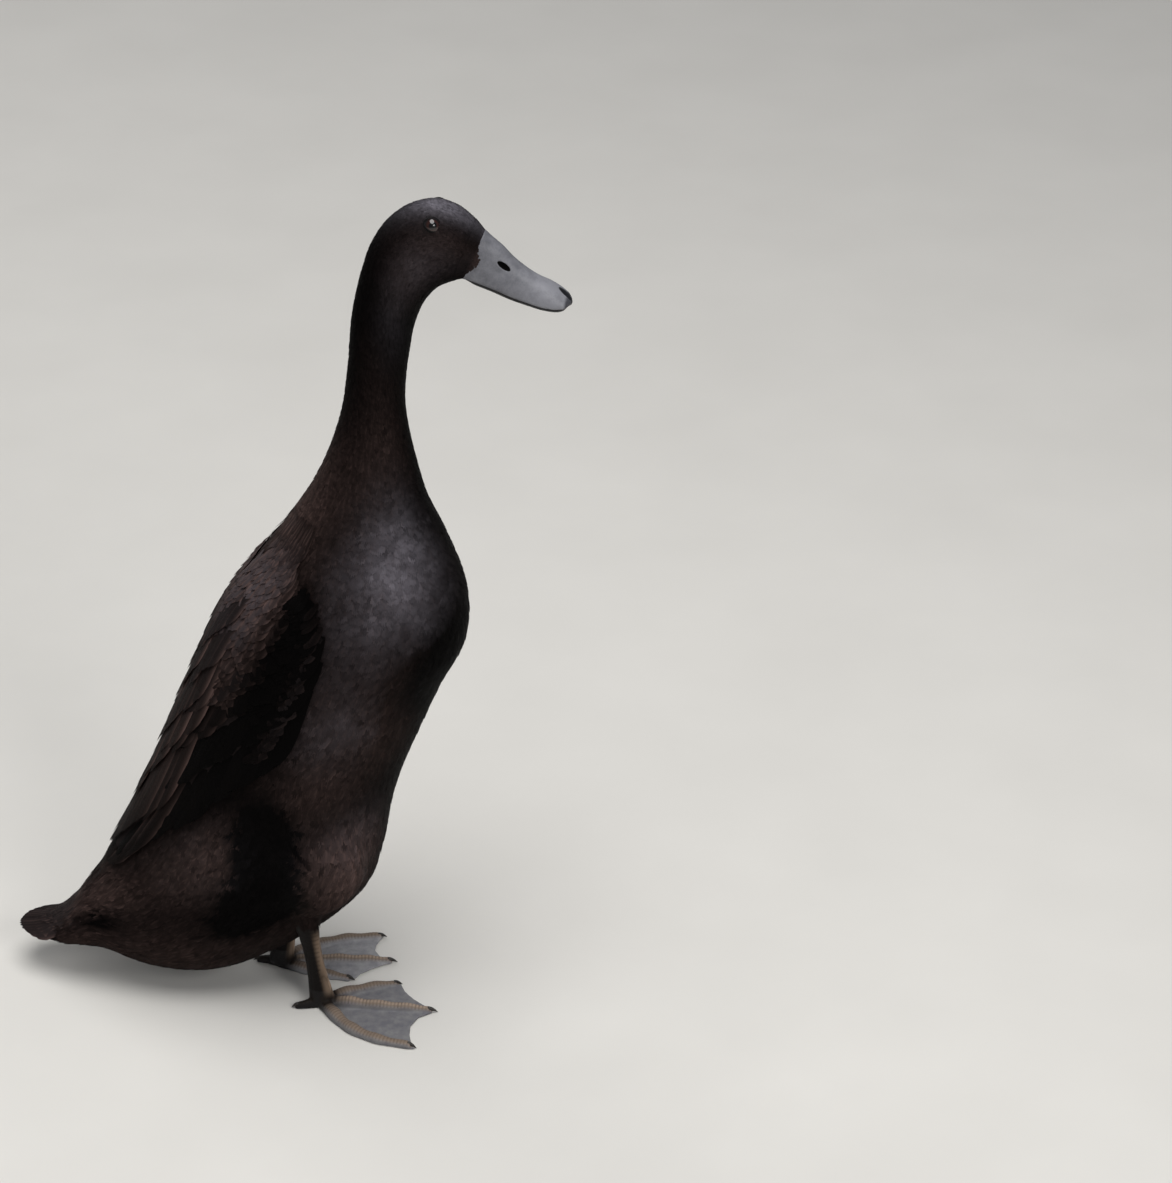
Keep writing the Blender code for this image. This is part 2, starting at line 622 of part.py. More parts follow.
def make_foot(side, ankle, sign, yaw, spread, parts, cutters):
    place = Matrix.Translation(ankle) @ Matrix.Rotation(yaw, 4, "Z")

    def at(forward, outward):
        return place @ Vector((forward, sign * spread * outward, 0))

    pieces = []
    for toe, rows in TOES.items():
        points = [at(forward, outward) for forward, outward, _, _ in rows]
        rings = []
        for k, (_, _, high, wide) in enumerate(rows):
            ahead = (points[min(k + 1, len(rows) - 1)] - points[max(k - 1, 0)]).normalized()
            rings.append(toe_ring(points[k], ahead, high, wide))
        tip, ahead = points[-1], (points[-1] - points[-2]).normalized()
        high, wide = rows[-1][2:]
        rings.append(toe_ring(tip + ahead * TOE_END, ahead, high * TOE_END_HIGH, wide * TOE_END_WIDE))
        pieces.append(loft(f"toe_{toe}", rings, parts))
        make_claw(f"claw_{toe}_{side}", tip + ahead * (TOE_END + GAP), ahead, CLAW_LONG[toe], parts)
    base = [at(*point) for point in WEB]
    pieces.append(loft("web", [base, [point + Vector((0, 0, WEB_THICK)) for point in base]], parts))
    middle = ankle + Vector((0, 0, ANKLE_Z / 2))
    foot = ball(f"foot_{side}", middle, (*ANKLE_SIZE, ANKLE_Z), parts, 16)
    level = []
    for high in (-LEVEL_HIGH / 2, ANKLE_Z + LEVEL_HIGH / 2):
        shape = bmesh.new()
        bmesh.ops.create_cube(shape, size=1)
        size = Matrix.Diagonal((LEVEL_WIDE * MM, LEVEL_WIDE * MM, LEVEL_HIGH * MM, 1))
        moved = Matrix.Translation((ankle + Vector((0, 0, high))) * MM)
        bmesh.ops.transform(shape, matrix=moved @ size, verts=shape.verts)
        level.append(add_mesh("level", shape, cutters))
    combine(foot, level, "DIFFERENCE")
    combine(foot, pieces, "UNION")


def make_claw(name, root, ahead, long, parts):
    """A blunt cone lying along the toe, its point low."""
    shape = bmesh.new()
    bmesh.ops.create_cone(
        shape, cap_ends=True, segments=8, radius1=CLAW_THICK * MM, radius2=CLAW_TIP_THICK * MM,
        depth=long * MM)
    direction = (ahead + Vector((0, 0, -CLAW_DROP))).normalized()
    turn = Vector((0, 0, 1)).rotation_difference(direction).to_matrix().to_4x4()
    centre = (root + Vector((0, 0, CLAW_THICK + CLAW_RAISE)) + direction * long / 2) * MM
    bmesh.ops.transform(shape, matrix=Matrix.Translation(centre) @ turn, verts=shape.verts)
    add_mesh(name, shape, parts)


def finish(obj):
    """Smooth shading with sharp creases, and the part's own material."""
    obj.data.shade_smooth()
    obj.data.set_sharp_from_angle(angle=SHARP_ANGLE)
    colour, rough, metal = next(look for start, look in LOOKS.items() if obj.name.startswith(start))
    material = bpy.data.materials.new(f"{obj.name}_surface")
    material.use_nodes = True
    shader = material.node_tree.nodes["Principled BSDF"]
    shader.inputs["Base Color"].default_value = (*colour, 1)
    shader.inputs["Roughness"].default_value = rough
    shader.inputs["Metallic"].default_value = metal
    obj.data.materials.clear()
    obj.data.materials.append(material)


def main():
    clear_scene()
    parts = make_collection("indian_runner_duck")
    cutters = make_collection("cutters")
    cutters.hide_render = True
    body = Ovals(BODY)
    made = make_body(parts, body)
    cut_head(made["head"], cutters)
    make_eyes(parts)
    make_bill(parts, cutters)
    make_wings(body, parts, cutters)
    make_tail(parts)
    for side in ("l", "r"):
        make_leg(side, body, made["rump"], parts, cutters)
    for obj in parts.objects:
        finish(obj)


main()
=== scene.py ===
"""A black Indian Runner duck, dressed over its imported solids.

Lengths are in millimetres until a mesh is made. The bird faces +X, its left side is +Y, and its
soles are on the floor at z = 0. A place on the trunk is a pair: along, the distance down the
middle line from the bill's root to the tail, and turn, the degrees from the back towards +Y.
"""

import logging
import math
from dataclasses import dataclass
from enum import Enum
from functools import partial
from typing import Callable

import bmesh
import bpy
import numpy as np
from mathutils import Matrix, Vector
from mathutils.bvhtree import BVHTree

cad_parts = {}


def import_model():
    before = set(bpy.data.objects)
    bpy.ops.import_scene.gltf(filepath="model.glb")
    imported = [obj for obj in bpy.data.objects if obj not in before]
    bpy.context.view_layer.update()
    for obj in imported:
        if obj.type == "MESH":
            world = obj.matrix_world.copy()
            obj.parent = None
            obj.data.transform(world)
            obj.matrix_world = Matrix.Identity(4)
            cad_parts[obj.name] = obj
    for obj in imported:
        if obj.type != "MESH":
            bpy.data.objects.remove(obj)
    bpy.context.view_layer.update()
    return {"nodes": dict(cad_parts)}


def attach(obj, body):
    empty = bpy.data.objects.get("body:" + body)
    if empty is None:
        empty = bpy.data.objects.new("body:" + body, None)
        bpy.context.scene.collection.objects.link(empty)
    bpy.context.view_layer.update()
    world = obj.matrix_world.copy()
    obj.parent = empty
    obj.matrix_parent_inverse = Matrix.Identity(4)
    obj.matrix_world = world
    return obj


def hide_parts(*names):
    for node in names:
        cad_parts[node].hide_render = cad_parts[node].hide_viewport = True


MM = 0.001
SEED = 11
PATCH = 0.003
LOG = logging.getLogger("runner_duck")
Array = np.ndarray
Object = bpy.types.Object
Material = bpy.types.Material
Marks = dict[str, Array]
# Gives points for along, across and lift, or an answer for along, turn and points.
Reader = Callable[[Array, Array, Array], Array]


class Side(Enum):
    """Which side of the bird a paired part is on, as the sign of Y."""

    LEFT = 1
    RIGHT = -1

    @property
    def tag(self) -> str:
        """The letter that ends the names of this side's parts."""
        return "l" if self is Side.LEFT else "r"


class Mark(Enum):
    """Names of the attributes that carry the plumage's markings, painted highlights and shade included."""

    # Grey feathers, and painted highlights where light falls on the crown and breast.
    GREY = "grey_bloom"
    # Brown feathers, a painted highlight on the shoulder, and painted shade in folds, clefts and hollows.
    BROWN = "brown_tinge"
    SHADE = "feather_shade"


# Numbers and meshes.


def linear(code: str) -> tuple[float, float, float, float]:
    """Turns an sRGB hex colour to linear values.

    Args:
        code: Six hex digits.

    Returns:
        Red, green, blue and an alpha of 1.
    """
    parts = [int(code[k : k + 2], 16) / 255 for k in (0, 2, 4)]
    red, green, blue = (p / 12.92 if p <= 0.04045 else ((p + 0.055) / 1.055) ** 2.4 for p in parts)
    return red, green, blue, 1.0


def share_of(reach: tuple[float, float], value: Array) -> Array:
    """How far values are from the start of a reach to its end, from 0 to 1."""
    return np.clip((value - reach[0]) / (reach[1] - reach[0]), 0, 1)


def between(pair: tuple[float, float], share: Array) -> Array:
    """Values at shares of the way from the first of a pair to the second."""
    return pair[0] + (pair[1] - pair[0]) * share


def soft_step(low: float, high: float, value: Array) -> Array:
    """Rises smoothly from 0 at low to 1 at high, and falls where high is less than low."""
    s = share_of((low, high), value)
    return s * s * (3 - 2 * s)


def signed_power(value: Array, power: Array | float) -> Array:
    """Raises the sizes of values to a power and keeps their signs."""
    return np.sign(value) * np.abs(value) ** power


def round_angles(count: int) -> Array:
    """Angles evenly once round, in radians."""
    return np.linspace(0, 2 * math.pi, count, endpoint=False)


def fold(turn: Array) -> Array:
    """Degrees from the back on whichever side, from 0 to 180."""
    return np.abs((turn + 180) % 360 - 180)


class Profile:
    """Rows of values with a smooth curve through them."""

    def __init__(self, values: Array, knots: Array) -> None:
        """Keeps one row of values for each of the rising knots.

        Args:
            values: One row for each knot.
            knots: Rising places on the curve.
        """
        self.values, self.knots = values, knots
        self.slopes = np.gradient(values, knots, axis=0)
        self.end = knots[-1]

    @classmethod
    def table(cls, rows: tuple) -> "Profile":
        """Makes a profile of rows that start with their own knot."""
        values = np.array(rows, float)
        return cls(values[:, 1:], values[:, 0])

    @classmethod
    def line(cls, rows: tuple, points: int = 2) -> "Profile":
        """Makes a profile whose knots are the distances along its own line.

        Args:
            rows: Rows that start with a point, or with two points and the line midway.
            points: How many points they start with.

        Returns:
            The profile, with all the values of the rows.
        """
        values = np.array(rows, float)
        middle = (values[:, 0:2] + values[:, 2 * points - 2 : 2 * points]) / 2
        steps = np.linalg.norm(np.diff(middle, axis=0), axis=1)
        return cls(values, np.concatenate([[0], np.cumsum(steps)]))

    def read(self, at: Array) -> Array:
        """Reads the curve.

        Args:
            at: Places between the first knot and the last.

        Returns:
            One row for each place.
        """
        values, knots, slopes = self.values, self.knots, self.slopes
        at = np.clip(at, knots[0], knots[-1])
        cell = np.clip(np.searchsorted(knots, at, side="right") - 1, 0, len(knots) - 2)
        span = (knots[cell + 1] - knots[cell])[:, None]
        s = ((at - knots[cell]) / span[:, 0])[:, None]
        start = (2 * s**3 - 3 * s**2 + 1) * values[cell] + (s**3 - 2 * s**2 + s) * span * slopes[cell]
        end = (3 * s**2 - 2 * s**3) * values[cell + 1] + (s**3 - s**2) * span * slopes[cell + 1]
        return start + end


def put_in_scene(name: str, data: bpy.types.ID) -> Object:
    """Makes an object of a mesh, light or camera and links it to the scene.

    Args:
        name: The object's name.
        data: Its mesh, light or camera.

    Returns:
        The object.
    """
    made = bpy.data.objects.new(name, data)
    bpy.context.scene.collection.objects.link(made)
    return made


def write_marks(mesh: bpy.types.Mesh, marks: Marks) -> None:
    """Writes float attributes, as one value a vertex or one for all.

    Args:
        mesh: The mesh.
        marks: Values by the attribute's name.
    """
    for label, values in marks.items():
        made = mesh.attributes.new(label, "FLOAT", "POINT")
        values = np.broadcast_to(values, len(mesh.vertices))
        made.data.foreach_set("value", values.astype(np.float32))


def make_object(
    name: str,
    points: Array,
    faces: Array,
    material: Material,
    marks: Marks | None = None,
    maps: Marks | None = None,
) -> Object:
    """Makes an object from arrays.

    Args:
        name: The object's name.
        points: Vertices in millimetres.
        faces: Vertex numbers, four a row, the last -1 where a face is a triangle.
        material: Its only material.
        marks: Values of float attributes, one a vertex.
        maps: UV maps as one pair a vertex.

    Returns:
        The object, smooth shaded and linked to the scene.
    """
    mesh = bpy.data.meshes.new(name)
    used = faces >= 0
    corners = faces[used]
    starts = np.concatenate([[0], np.cumsum(used.sum(axis=1))[:-1]])
    mesh.vertices.add(len(points))
    mesh.vertices.foreach_set("co", (points * MM).astype(np.float32).ravel())
    mesh.loops.add(len(corners))
    mesh.loops.foreach_set("vertex_index", corners.astype(np.int32))
    mesh.polygons.add(len(faces))
    mesh.polygons.foreach_set("loop_start", starts.astype(np.int32))
    mesh.update(calc_edges=True)
    write_marks(mesh, marks or {})
    for label, pairs in (maps or {}).items():
        layer = mesh.uv_layers.new(name=label)
        layer.data.foreach_set("uv", pairs[corners].astype(np.float32).ravel())
    mesh.shade_smooth()
    mesh.materials.append(material)
    return put_in_scene(name, mesh)


def grid_faces(rows: int, columns: int, wrap: bool) -> Array:
    """Quads of a grid of points.

    Args:
        rows: Number of rows.
        columns: Points in a row.
        wrap: Whether a row's end joins its start.

    Returns:
        Vertex numbers, four a row.
    """
    last = columns if wrap else columns - 1
    r, c = (n.ravel() for n in np.meshgrid(np.arange(rows - 1), np.arange(last), indexing="ij"))
    near, far = r * columns, (r + 1) * columns
    d = (c + 1) % columns
    return np.stack([near + c, near + d, far + d, far + c], axis=1)


def outward(points: Array, faces: Array, middle: Array | None = None) -> Array:
    """Turns the faces of a shape round if they face inwards.

    Args:
        points: Vertices.
        faces: Vertex numbers, four a row, the last -1 where a face is a triangle.
        middle: A point inside, the mean of the points if left out.

    Returns:
        The faces, in an order that faces outwards on the whole.
    """
    middle = points.mean(axis=0) if middle is None else middle
    a, b, c = (points[faces[:, k]] - middle for k in range(3))
    if np.einsum("ij,ij->", a, np.cross(b, c)) >= 0:
        return faces
    turned = faces[:, [2, 1, 0, 3]]
    quads = faces[:, 3] >= 0
    turned[quads] = faces[quads][:, ::-1]
    return turned


def loft(rings: Array, closed: bool = True) -> tuple[Array, Array]:
    """Joins rings of points to a tube.

    Args:
        rings: An array of ring, point and coordinate.
        closed: Whether both ends get a fan to their middle.

    Returns:
        Points and faces.
    """
    rows, columns = rings.shape[:2]
    points = rings.reshape(-1, 3)
    faces = [grid_faces(rows, columns, True)]
    if closed:
        points = np.concatenate([points, rings[0].mean(axis=0)[None], rings[-1].mean(axis=0)[None]])
        c = np.arange(columns)
        d = (c + 1) % columns
        last = (rows - 1) * columns
        for a, b, hub in ((d, c, rows * columns), (last + c, last + d, rows * columns + 1)):
            faces.append(np.stack([a, b, np.full(columns, hub), np.full(columns, -1)], axis=1))
    return points, outward(points, np.concatenate(faces))


def join(parts: list[tuple[Array, ...]]) -> tuple[Array, ...]:
    """Joins meshes to one.

    Args:
        parts: Points, faces and further arrays with a row for each point.

    Returns:
        The same arrays for the whole.
    """
    points, faces, *more = zip(*parts)
    starts = np.cumsum([0, *map(len, points)])
    moved = [np.where(quads >= 0, quads + start, -1) for quads, start in zip(faces, starts)]
    return tuple(np.concatenate(arrays) for arrays in (points, moved, *more))


def bake_modifiers(obj: Object) -> None:
    """Turns an object's modifiers into its mesh.

    Args:
        obj: The object, which keeps none of them.
    """
    graph = bpy.context.evaluated_depsgraph_get()
    mesh = bpy.data.meshes.new_from_object(obj.evaluated_get(graph))
    obj.modifiers.clear()
    obj.data = mesh


def ride_all(pieces: list[Object], nodes: tuple[str, ...] = ()) -> None:
    """Fixes pieces to the frame.

    Args:
        pieces: The pieces of one sub-assembly.
        nodes: CAD nodes that they replace.
    """
    for piece in pieces:
        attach(piece, "root")
        LOG.info("%s: %d faces", piece.name, len(piece.data.polygons))
    if nodes:
        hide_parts(*nodes)


# Finishes.


class Surface:
    """A new material with a Principled shader and the nodes that feed it."""

    def __init__(self, name: str, settings: dict[str, float]) -> None:
        """Makes the material, with constants on the shader's own sockets.

        Args:
            name: The material's name.
            settings: Constants by the socket's name.
        """
        self.made = bpy.data.materials.new(name)
        self.made.use_nodes = True
        self.tree = self.made.node_tree
        self.shader = self.tree.nodes["Principled BSDF"]
        for key, value in settings.items():
            self.shader.inputs[key].default_value = value
        self.place = self.add("NewGeometry", {}).outputs["Position"]

    def add(self, kind: str, settings: dict[str | int, object]) -> bpy.types.Node:
        """Adds a node with its settings and links.

        Args:
            kind: The node's type without its ShaderNode start. Each texture reads the place.
            settings: Values of the node's properties and inputs, by name or number. A node or a
                socket is linked, a node by its first output. A colour ramp takes "stops", pairs
                of a place and a hex colour.

        Returns:
            The node.
        """
        node = self.tree.nodes.new("ShaderNode" + kind)
        if kind.startswith("Tex"):
            self.tree.links.new(self.place, node.inputs["Vector"])
        for key, value in settings.items():
            if key == "stops":
                band = node.color_ramp.elements
                while len(band) < len(value):
                    band.new(0.5)
                for element, (place, code) in zip(band, value):
                    element.position, element.color = place, linear(code)
            elif isinstance(value, bpy.types.Node):
                self.tree.links.new(value.outputs[0], node.inputs[key])
            elif isinstance(value, bpy.types.NodeSocket):
                self.tree.links.new(value, node.inputs[key])
            elif isinstance(key, str) and hasattr(node, key):
                setattr(node, key, value)
            else:
                node.inputs[key].default_value = value
        return node

    def feed(self, nodes: dict[str, bpy.types.Node]) -> Material:
        """Links nodes to the shader's sockets.

        Args:
            nodes: The node that feeds each socket.

        Returns:
            The material.
        """
        for key, node in nodes.items():
            self.tree.links.new(node.outputs[0], self.shader.inputs[key])
        return self.made


@dataclass(frozen=True)
class FeatherFinish:
    """Keratin barbs full of melanin, preened with oil: near black, matt and soft at grazing angles.

    Fine barbs run out from the shaft and forwards, which breaks the light into a dull bloom. Worn
    and dusty edges turn it grey or brown. The grey and brown marks also carry painted highlights
    and painted shade.
    """

    name: str
    black: str = "040303"
    grey: str = "66636a"
    brown: str = "54433f"
    roughness: float = 0.58
    barbs: float = 26.0
    relief: float = 0.25
    worn: float = 0.35

    def material(self) -> Material:
        """Builds the material.

        Returns:
            It reads the markings and the Vane map of a coat piece.
        """
        # Keratin has an IOR of about 1.54. The loose barbs leave little of its gloss.
        sheet = Surface(self.name, {"Roughness": self.roughness, "IOR": 1.54, "Specular IOR Level": 0.02})
        parts = sheet.add("SeparateXYZ", {0: sheet.add("UVMap", {"uv_map": "Vane"})}).outputs
        across = sheet.add("Math", {"operation": "ABSOLUTE", 0: parts["X"]})
        slope = sheet.add("Math", {"operation": "MULTIPLY_ADD", 0: across, 1: -0.45, 2: parts["Y"]})
        # Barbs fray over about 2.4 mm.
        fray = sheet.add("TexNoise", {"Scale": 420.0, "Detail": 2.0})
        wander = sheet.add("Math", {"operation": "MULTIPLY_ADD", 0: fray, 1: 0.16, 2: slope})
        wave = sheet.add("Math", {"operation": "MULTIPLY", 0: wander, 1: self.barbs * 2 * math.pi})
        barb = sheet.add("Math", {"operation": "SINE", 0: wave})
        grey, brown, shade = (
            sheet.add("Attribute", {"attribute_name": mark.value}).outputs["Fac"] for mark in Mark
        )
        # Dust and wear lie in patches a few feathers wide, about 18 mm.
        patch = sheet.add("TexNoise", {"Scale": 55.0, "Detail": 3.0, "Roughness": 0.6})
        spread = sheet.add(
            "MapRange", {"Value": patch, "From Min": 0.3, "From Max": 0.7, "To Min": 0.6, "To Max": 1.25}
        )
        # The grey mark, with its painted highlights, is uneven in patches.
        bloom = sheet.add("Math", {"operation": "MULTIPLY", "use_clamp": True, 0: grey, 1: spread})
        # The edges of a vane wear first, which draws each feather.
        least, most = 1 - self.worn, 1 + 0.6 * self.worn
        edge = sheet.add("MapRange", {"Value": across, "From Min": 0.3, "To Min": least, "To Max": most})
        # The brown mark, with its painted light and shade, is strongest at the worn edges.
        fade = sheet.add("Math", {"operation": "MULTIPLY", "use_clamp": True, 0: edge, 1: brown})
        colour = linear(self.black)
        for share, code in ((bloom, self.grey), (fade, self.brown)):
            colour = sheet.add("Mix", {"data_type": "RGBA", 0: share, 6: colour, 7: linear(code)}).outputs[2]
        light = sheet.add("MapRange", {"Value": barb, "From Min": -1.0, "To Min": 0.78, "To Max": 1.15})
        value = sheet.add("Math", {"operation": "MULTIPLY", 0: light, 1: shade})
        colour = sheet.add("HueSaturation", {"Value": value, "Color": colour})
        bump = sheet.add("Bump", {"Strength": self.relief, "Distance": 0.0002, "Height": barb})
        return sheet.feed({"Base Color": colour, "Normal": bump})


@dataclass(frozen=True)
class DownFinish:
    """Dark down and skin between the feathers, dull and almost without gloss."""

    name: str = "black_down"
    black: str = "040303"
    grey: str = "5a585e"
    brown: str = "463937"

    def material(self) -> Material:
        """Builds the material.

        Returns:
            It carries the feathers' markings a little darker, with clumps of down about 3 mm wide.
        """
        sheet = Surface(self.name, {"Roughness": 0.85, "IOR": 1.45, "Specular IOR Level": 0.05})
        clump = sheet.add("TexNoise", {"Scale": 330.0, "Detail": 4.0})
        colour = linear(self.black)
        for mark, code in ((Mark.GREY, self.grey), (Mark.BROWN, self.brown)):
            share = sheet.add("Attribute", {"attribute_name": mark.value}).outputs["Fac"]
            colour = sheet.add("Mix", {"data_type": "RGBA", 0: share, 6: colour, 7: linear(code)}).outputs[2]
        light = sheet.add("MapRange", {"Value": clump, "To Min": 0.6, "To Max": 1.2})
        colour = sheet.add("HueSaturation", {"Value": light, "Color": colour})
        bump = sheet.add("Bump", {"Strength": 0.4, "Distance": 0.0005, "Height": clump})
        return sheet.feed({"Base Color": colour, "Normal": bump})


@dataclass(frozen=True)
class HornFinish:
    """Horny skin of a bill, nail or claw: keratin with a satin gloss and fine pits and scratches."""

    name: str
    dark: str
    light: str
    roughness: float
    grain: float = 900.0
    relief: float = 0.18
    specular: float = 0.28

    def material(self) -> Material:
        """Builds the material.

        Returns:
            Clouded colour 6 mm wide, darker in the pores, with a soft uneven gloss.
        """
        # Keratin has an IOR of about 1.55.
        sheet = Surface(self.name, {"IOR": 1.55, "Specular IOR Level": self.specular})
        cloud = sheet.add("TexNoise", {"Scale": 160.0, "Detail": 5.0, "Roughness": 0.6})
        pores = sheet.add("TexVoronoi", {"Scale": self.grain})
        speck = sheet.add("Math", {"operation": "MULTIPLY_ADD", 0: pores, 1: 0.16, 2: cloud})
        tone = sheet.add("Attribute", {"attribute_name": "tone"}).outputs["Fac"]
        total = sheet.add("Math", {"operation": "ADD", 0: speck, 1: tone})
        colour = sheet.add("ValToRGB", {"Fac": total, "stops": [(0.1, self.dark), (1.0, self.light)]})
        least, most = self.roughness - 0.08, self.roughness + 0.12
        gloss = sheet.add("MapRange", {"Value": cloud, "To Min": least, "To Max": most})
        bump = sheet.add("Bump", {"Strength": self.relief, "Distance": 0.0003, "Height": speck})
        return sheet.feed({"Base Color": colour, "Roughness": gloss, "Normal": bump})


@dataclass(frozen=True)
class ScaleFinish:
    """A duck's scaled leg skin: slate webs, browner scutes, an orange-brown shin with painted highlight."""

    name: str = "scaled_leg_skin"
    web: str = "7e7d7d"
    web_dark: str = "69686d"
    scute: str = "75675b"
    shank: str = "0d0908"
    # Partly the shin's own orange-brown, partly a painted highlight on its lit front.
    shin: str = "786656"
    roughness: float = 0.46

    def material(self) -> Material:
        """Builds the material.

        Returns:
            It reads how far a place is scute, shank and shin from the mesh.
        """
        # Dry scales have an IOR of about 1.5 and a soft, uneven gloss.
        sheet = Surface(self.name, {"IOR": 1.5, "Specular IOR Level": 0.1})
        # Small round scales about 1.3 mm apart, seen best on the shank.
        scales = sheet.add("TexVoronoi", {"Scale": 760.0, "Randomness": 0.8})
        cloud = sheet.add("TexNoise", {"Scale": 210.0, "Detail": 4.0})
        colour = sheet.add("ValToRGB", {"Fac": cloud, "stops": [(0.3, self.web_dark), (0.7, self.web)]})
        colour = colour.outputs[0]
        for part, code in (("scute", self.scute), ("shank", self.shank), ("shin", self.shin)):
            share = sheet.add("Attribute", {"attribute_name": part}).outputs["Fac"]
            colour = sheet.add("Mix", {"data_type": "RGBA", 0: share, 6: colour, 7: linear(code)}).outputs[2]
        # Painted highlight on the scutes' ridges and painted shade in their grooves.
        ridge = sheet.add("Attribute", {"attribute_name": "ridge"}).outputs["Fac"]
        scute_light_and_shade = sheet.add("MapRange", {"Value": ridge, "To Min": 0.62, "To Max": 2.0})
        colour = sheet.add("HueSaturation", {"Value": scute_light_and_shade, "Color": colour})
        least, most = self.roughness - 0.1, self.roughness + 0.14
        gloss = sheet.add("MapRange", {"Value": cloud, "To Min": least, "To Max": most})
        depth = sheet.add("Math", {"operation": "MULTIPLY_ADD", 0: cloud, 1: 0.5, 2: scales})
        bump = sheet.add("Bump", {"Strength": 0.3, "Distance": 0.0004, "Height": depth})
        return sheet.feed({"Base Color": colour, "Roughness": gloss, "Normal": bump})


@dataclass(frozen=True)
class EyeFinish:
    """A wet eye: black pupil, dark red-brown iris with fine spokes, under a clear film of tears."""

    name: str = "wet_brown_eye"
    pupil: str = "020202"
    iris: str = "2b120c"
    iris_edge: str = "1c0b07"
    rim: str = "080504"
    pupil_degrees: float = 22.0
    iris_degrees: float = 44.0

    def material(self) -> Material:
        """Builds the material, which reads the degrees from the gaze from the mesh.

        Returns:
            The material.
        """
        # The tear film has an IOR of 1.34 and is as smooth as glass.
        film = {"Coat Weight": 1.0, "Coat Roughness": 0.02, "Coat IOR": 1.34}
        sheet = Surface(self.name, {"Roughness": 0.12, "IOR": 1.4, **film})
        angle = sheet.add("Attribute", {"attribute_name": "gaze"}).outputs["Fac"]
        spokes = sheet.add("TexNoise", {"Scale": 900.0, "Detail": 3.0})
        total = sheet.add("Math", {"operation": "MULTIPLY_ADD", 0: spokes, 1: 6.0, 2: angle})
        share = sheet.add("Math", {"operation": "DIVIDE", 0: total, 1: 90.0})
        inner, outer = self.pupil_degrees / 90 + 0.03, self.iris_degrees / 90 + 0.03
        stops = [(inner, self.pupil), (inner + 0.02, self.iris)]
        stops += [(outer - 0.03, self.iris_edge), (outer + 0.03, self.rim)]
        return sheet.feed({"Base Color": sheet.add("ValToRGB", {"Fac": share, "stops": stops})})


@dataclass(frozen=True)
class PaperFinish:
    """Seamless background paper: matt, pale and even."""

    name: str = "pale_studio_paper"
    fibre: str = "d5d2cc"
    colour: str = "d9d6d0"

    def material(self) -> Material:
        """Builds the material, with a faint fibre.

        Returns:
            The material.
        """
        sheet = Surface(self.name, {"Roughness": 0.9, "IOR": 1.45, "Specular IOR Level": 0.15})
        cloud = sheet.add("TexNoise", {"Scale": 8.0, "Detail": 6.0})
        stops = [(0.3, self.fibre), (0.7, self.colour)]
        return sheet.feed({"Base Color": sheet.add("ValToRGB", {"Fac": cloud, "stops": stops})})


# The trunk's form.


TRUNK_ROWS = (
    # name, dorsal (x, z), ventral (x, z), half width, power of the oval
    ("bill_root", 132, 551.5, 118, 520, 12.5, 2.1),
    ("face", 125.5, 558.5, 111, 518, 16.5, 2.3),
    ("brow", 115, 565.5, 104.5, 515, 19, 2.6),
    ("crown", 102, 568.5, 99.5, 509.5, 20.5, 2.6),
    ("hind_crown", 88, 565.5, 95.5, 503, 20.5, 2.4),
    ("nape", 75, 556.5, 92, 495, 19.5, 2.2),
    ("upper_nape", 64.5, 541.5, 88.5, 484, 18, 2),
    ("throat", 57.5, 522, 86, 470, 17, 2),
    ("upper_neck", 51, 494, 83.5, 453, 16.5, 2),
    ("mid_neck", 47.5, 461, 82.5, 432, 17, 2),
    ("low_neck", 43, 430, 85, 411, 19, 2),
    ("neck_base", 36, 406, 89, 391, 24, 2),
    ("collar", 24, 378, 95.5, 365, 33, 2),
    ("shoulder", 5, 347, 107.5, 337, 45, 2),
    ("breast", -15, 319, 118, 303, 55, 2),
    ("keel", -33, 292, 116.5, 271, 59.5, 2),
    ("flank", -47, 262, 102, 239, 61.5, 2),
    ("mid_body", -60, 230, 89, 206, 61.5, 2),
    ("belly", -74, 195, 76, 173, 60, 2),
    ("low_belly", -88, 161, 67.5, 143, 57.5, 2),
    ("hip", -104, 127, 62, 113, 54, 2),
    ("thigh", -117, 103, 50, 80, 50, 2),
    ("vent_front", -124, 89, -3, 33, 46, 2),
    ("vent", -129, 80, -46, 12, 42, 2),
    ("tail_under", -134.5, 71.5, -85, 11, 36, 2),
    ("tail_root", -140.5, 62.5, -117, 21.5, 31, 2),
    ("tail_coverts", -147, 52, -133, 24, 29, 2),
    ("quills", -154.5, 43.4, -147.5, 23.6, 25, 2),
    ("fan", -161.8, 37.6, -158.3, 24, 21, 2),
    ("fan_middle", -169, 34.5, -167, 25.1, 16, 2),
)


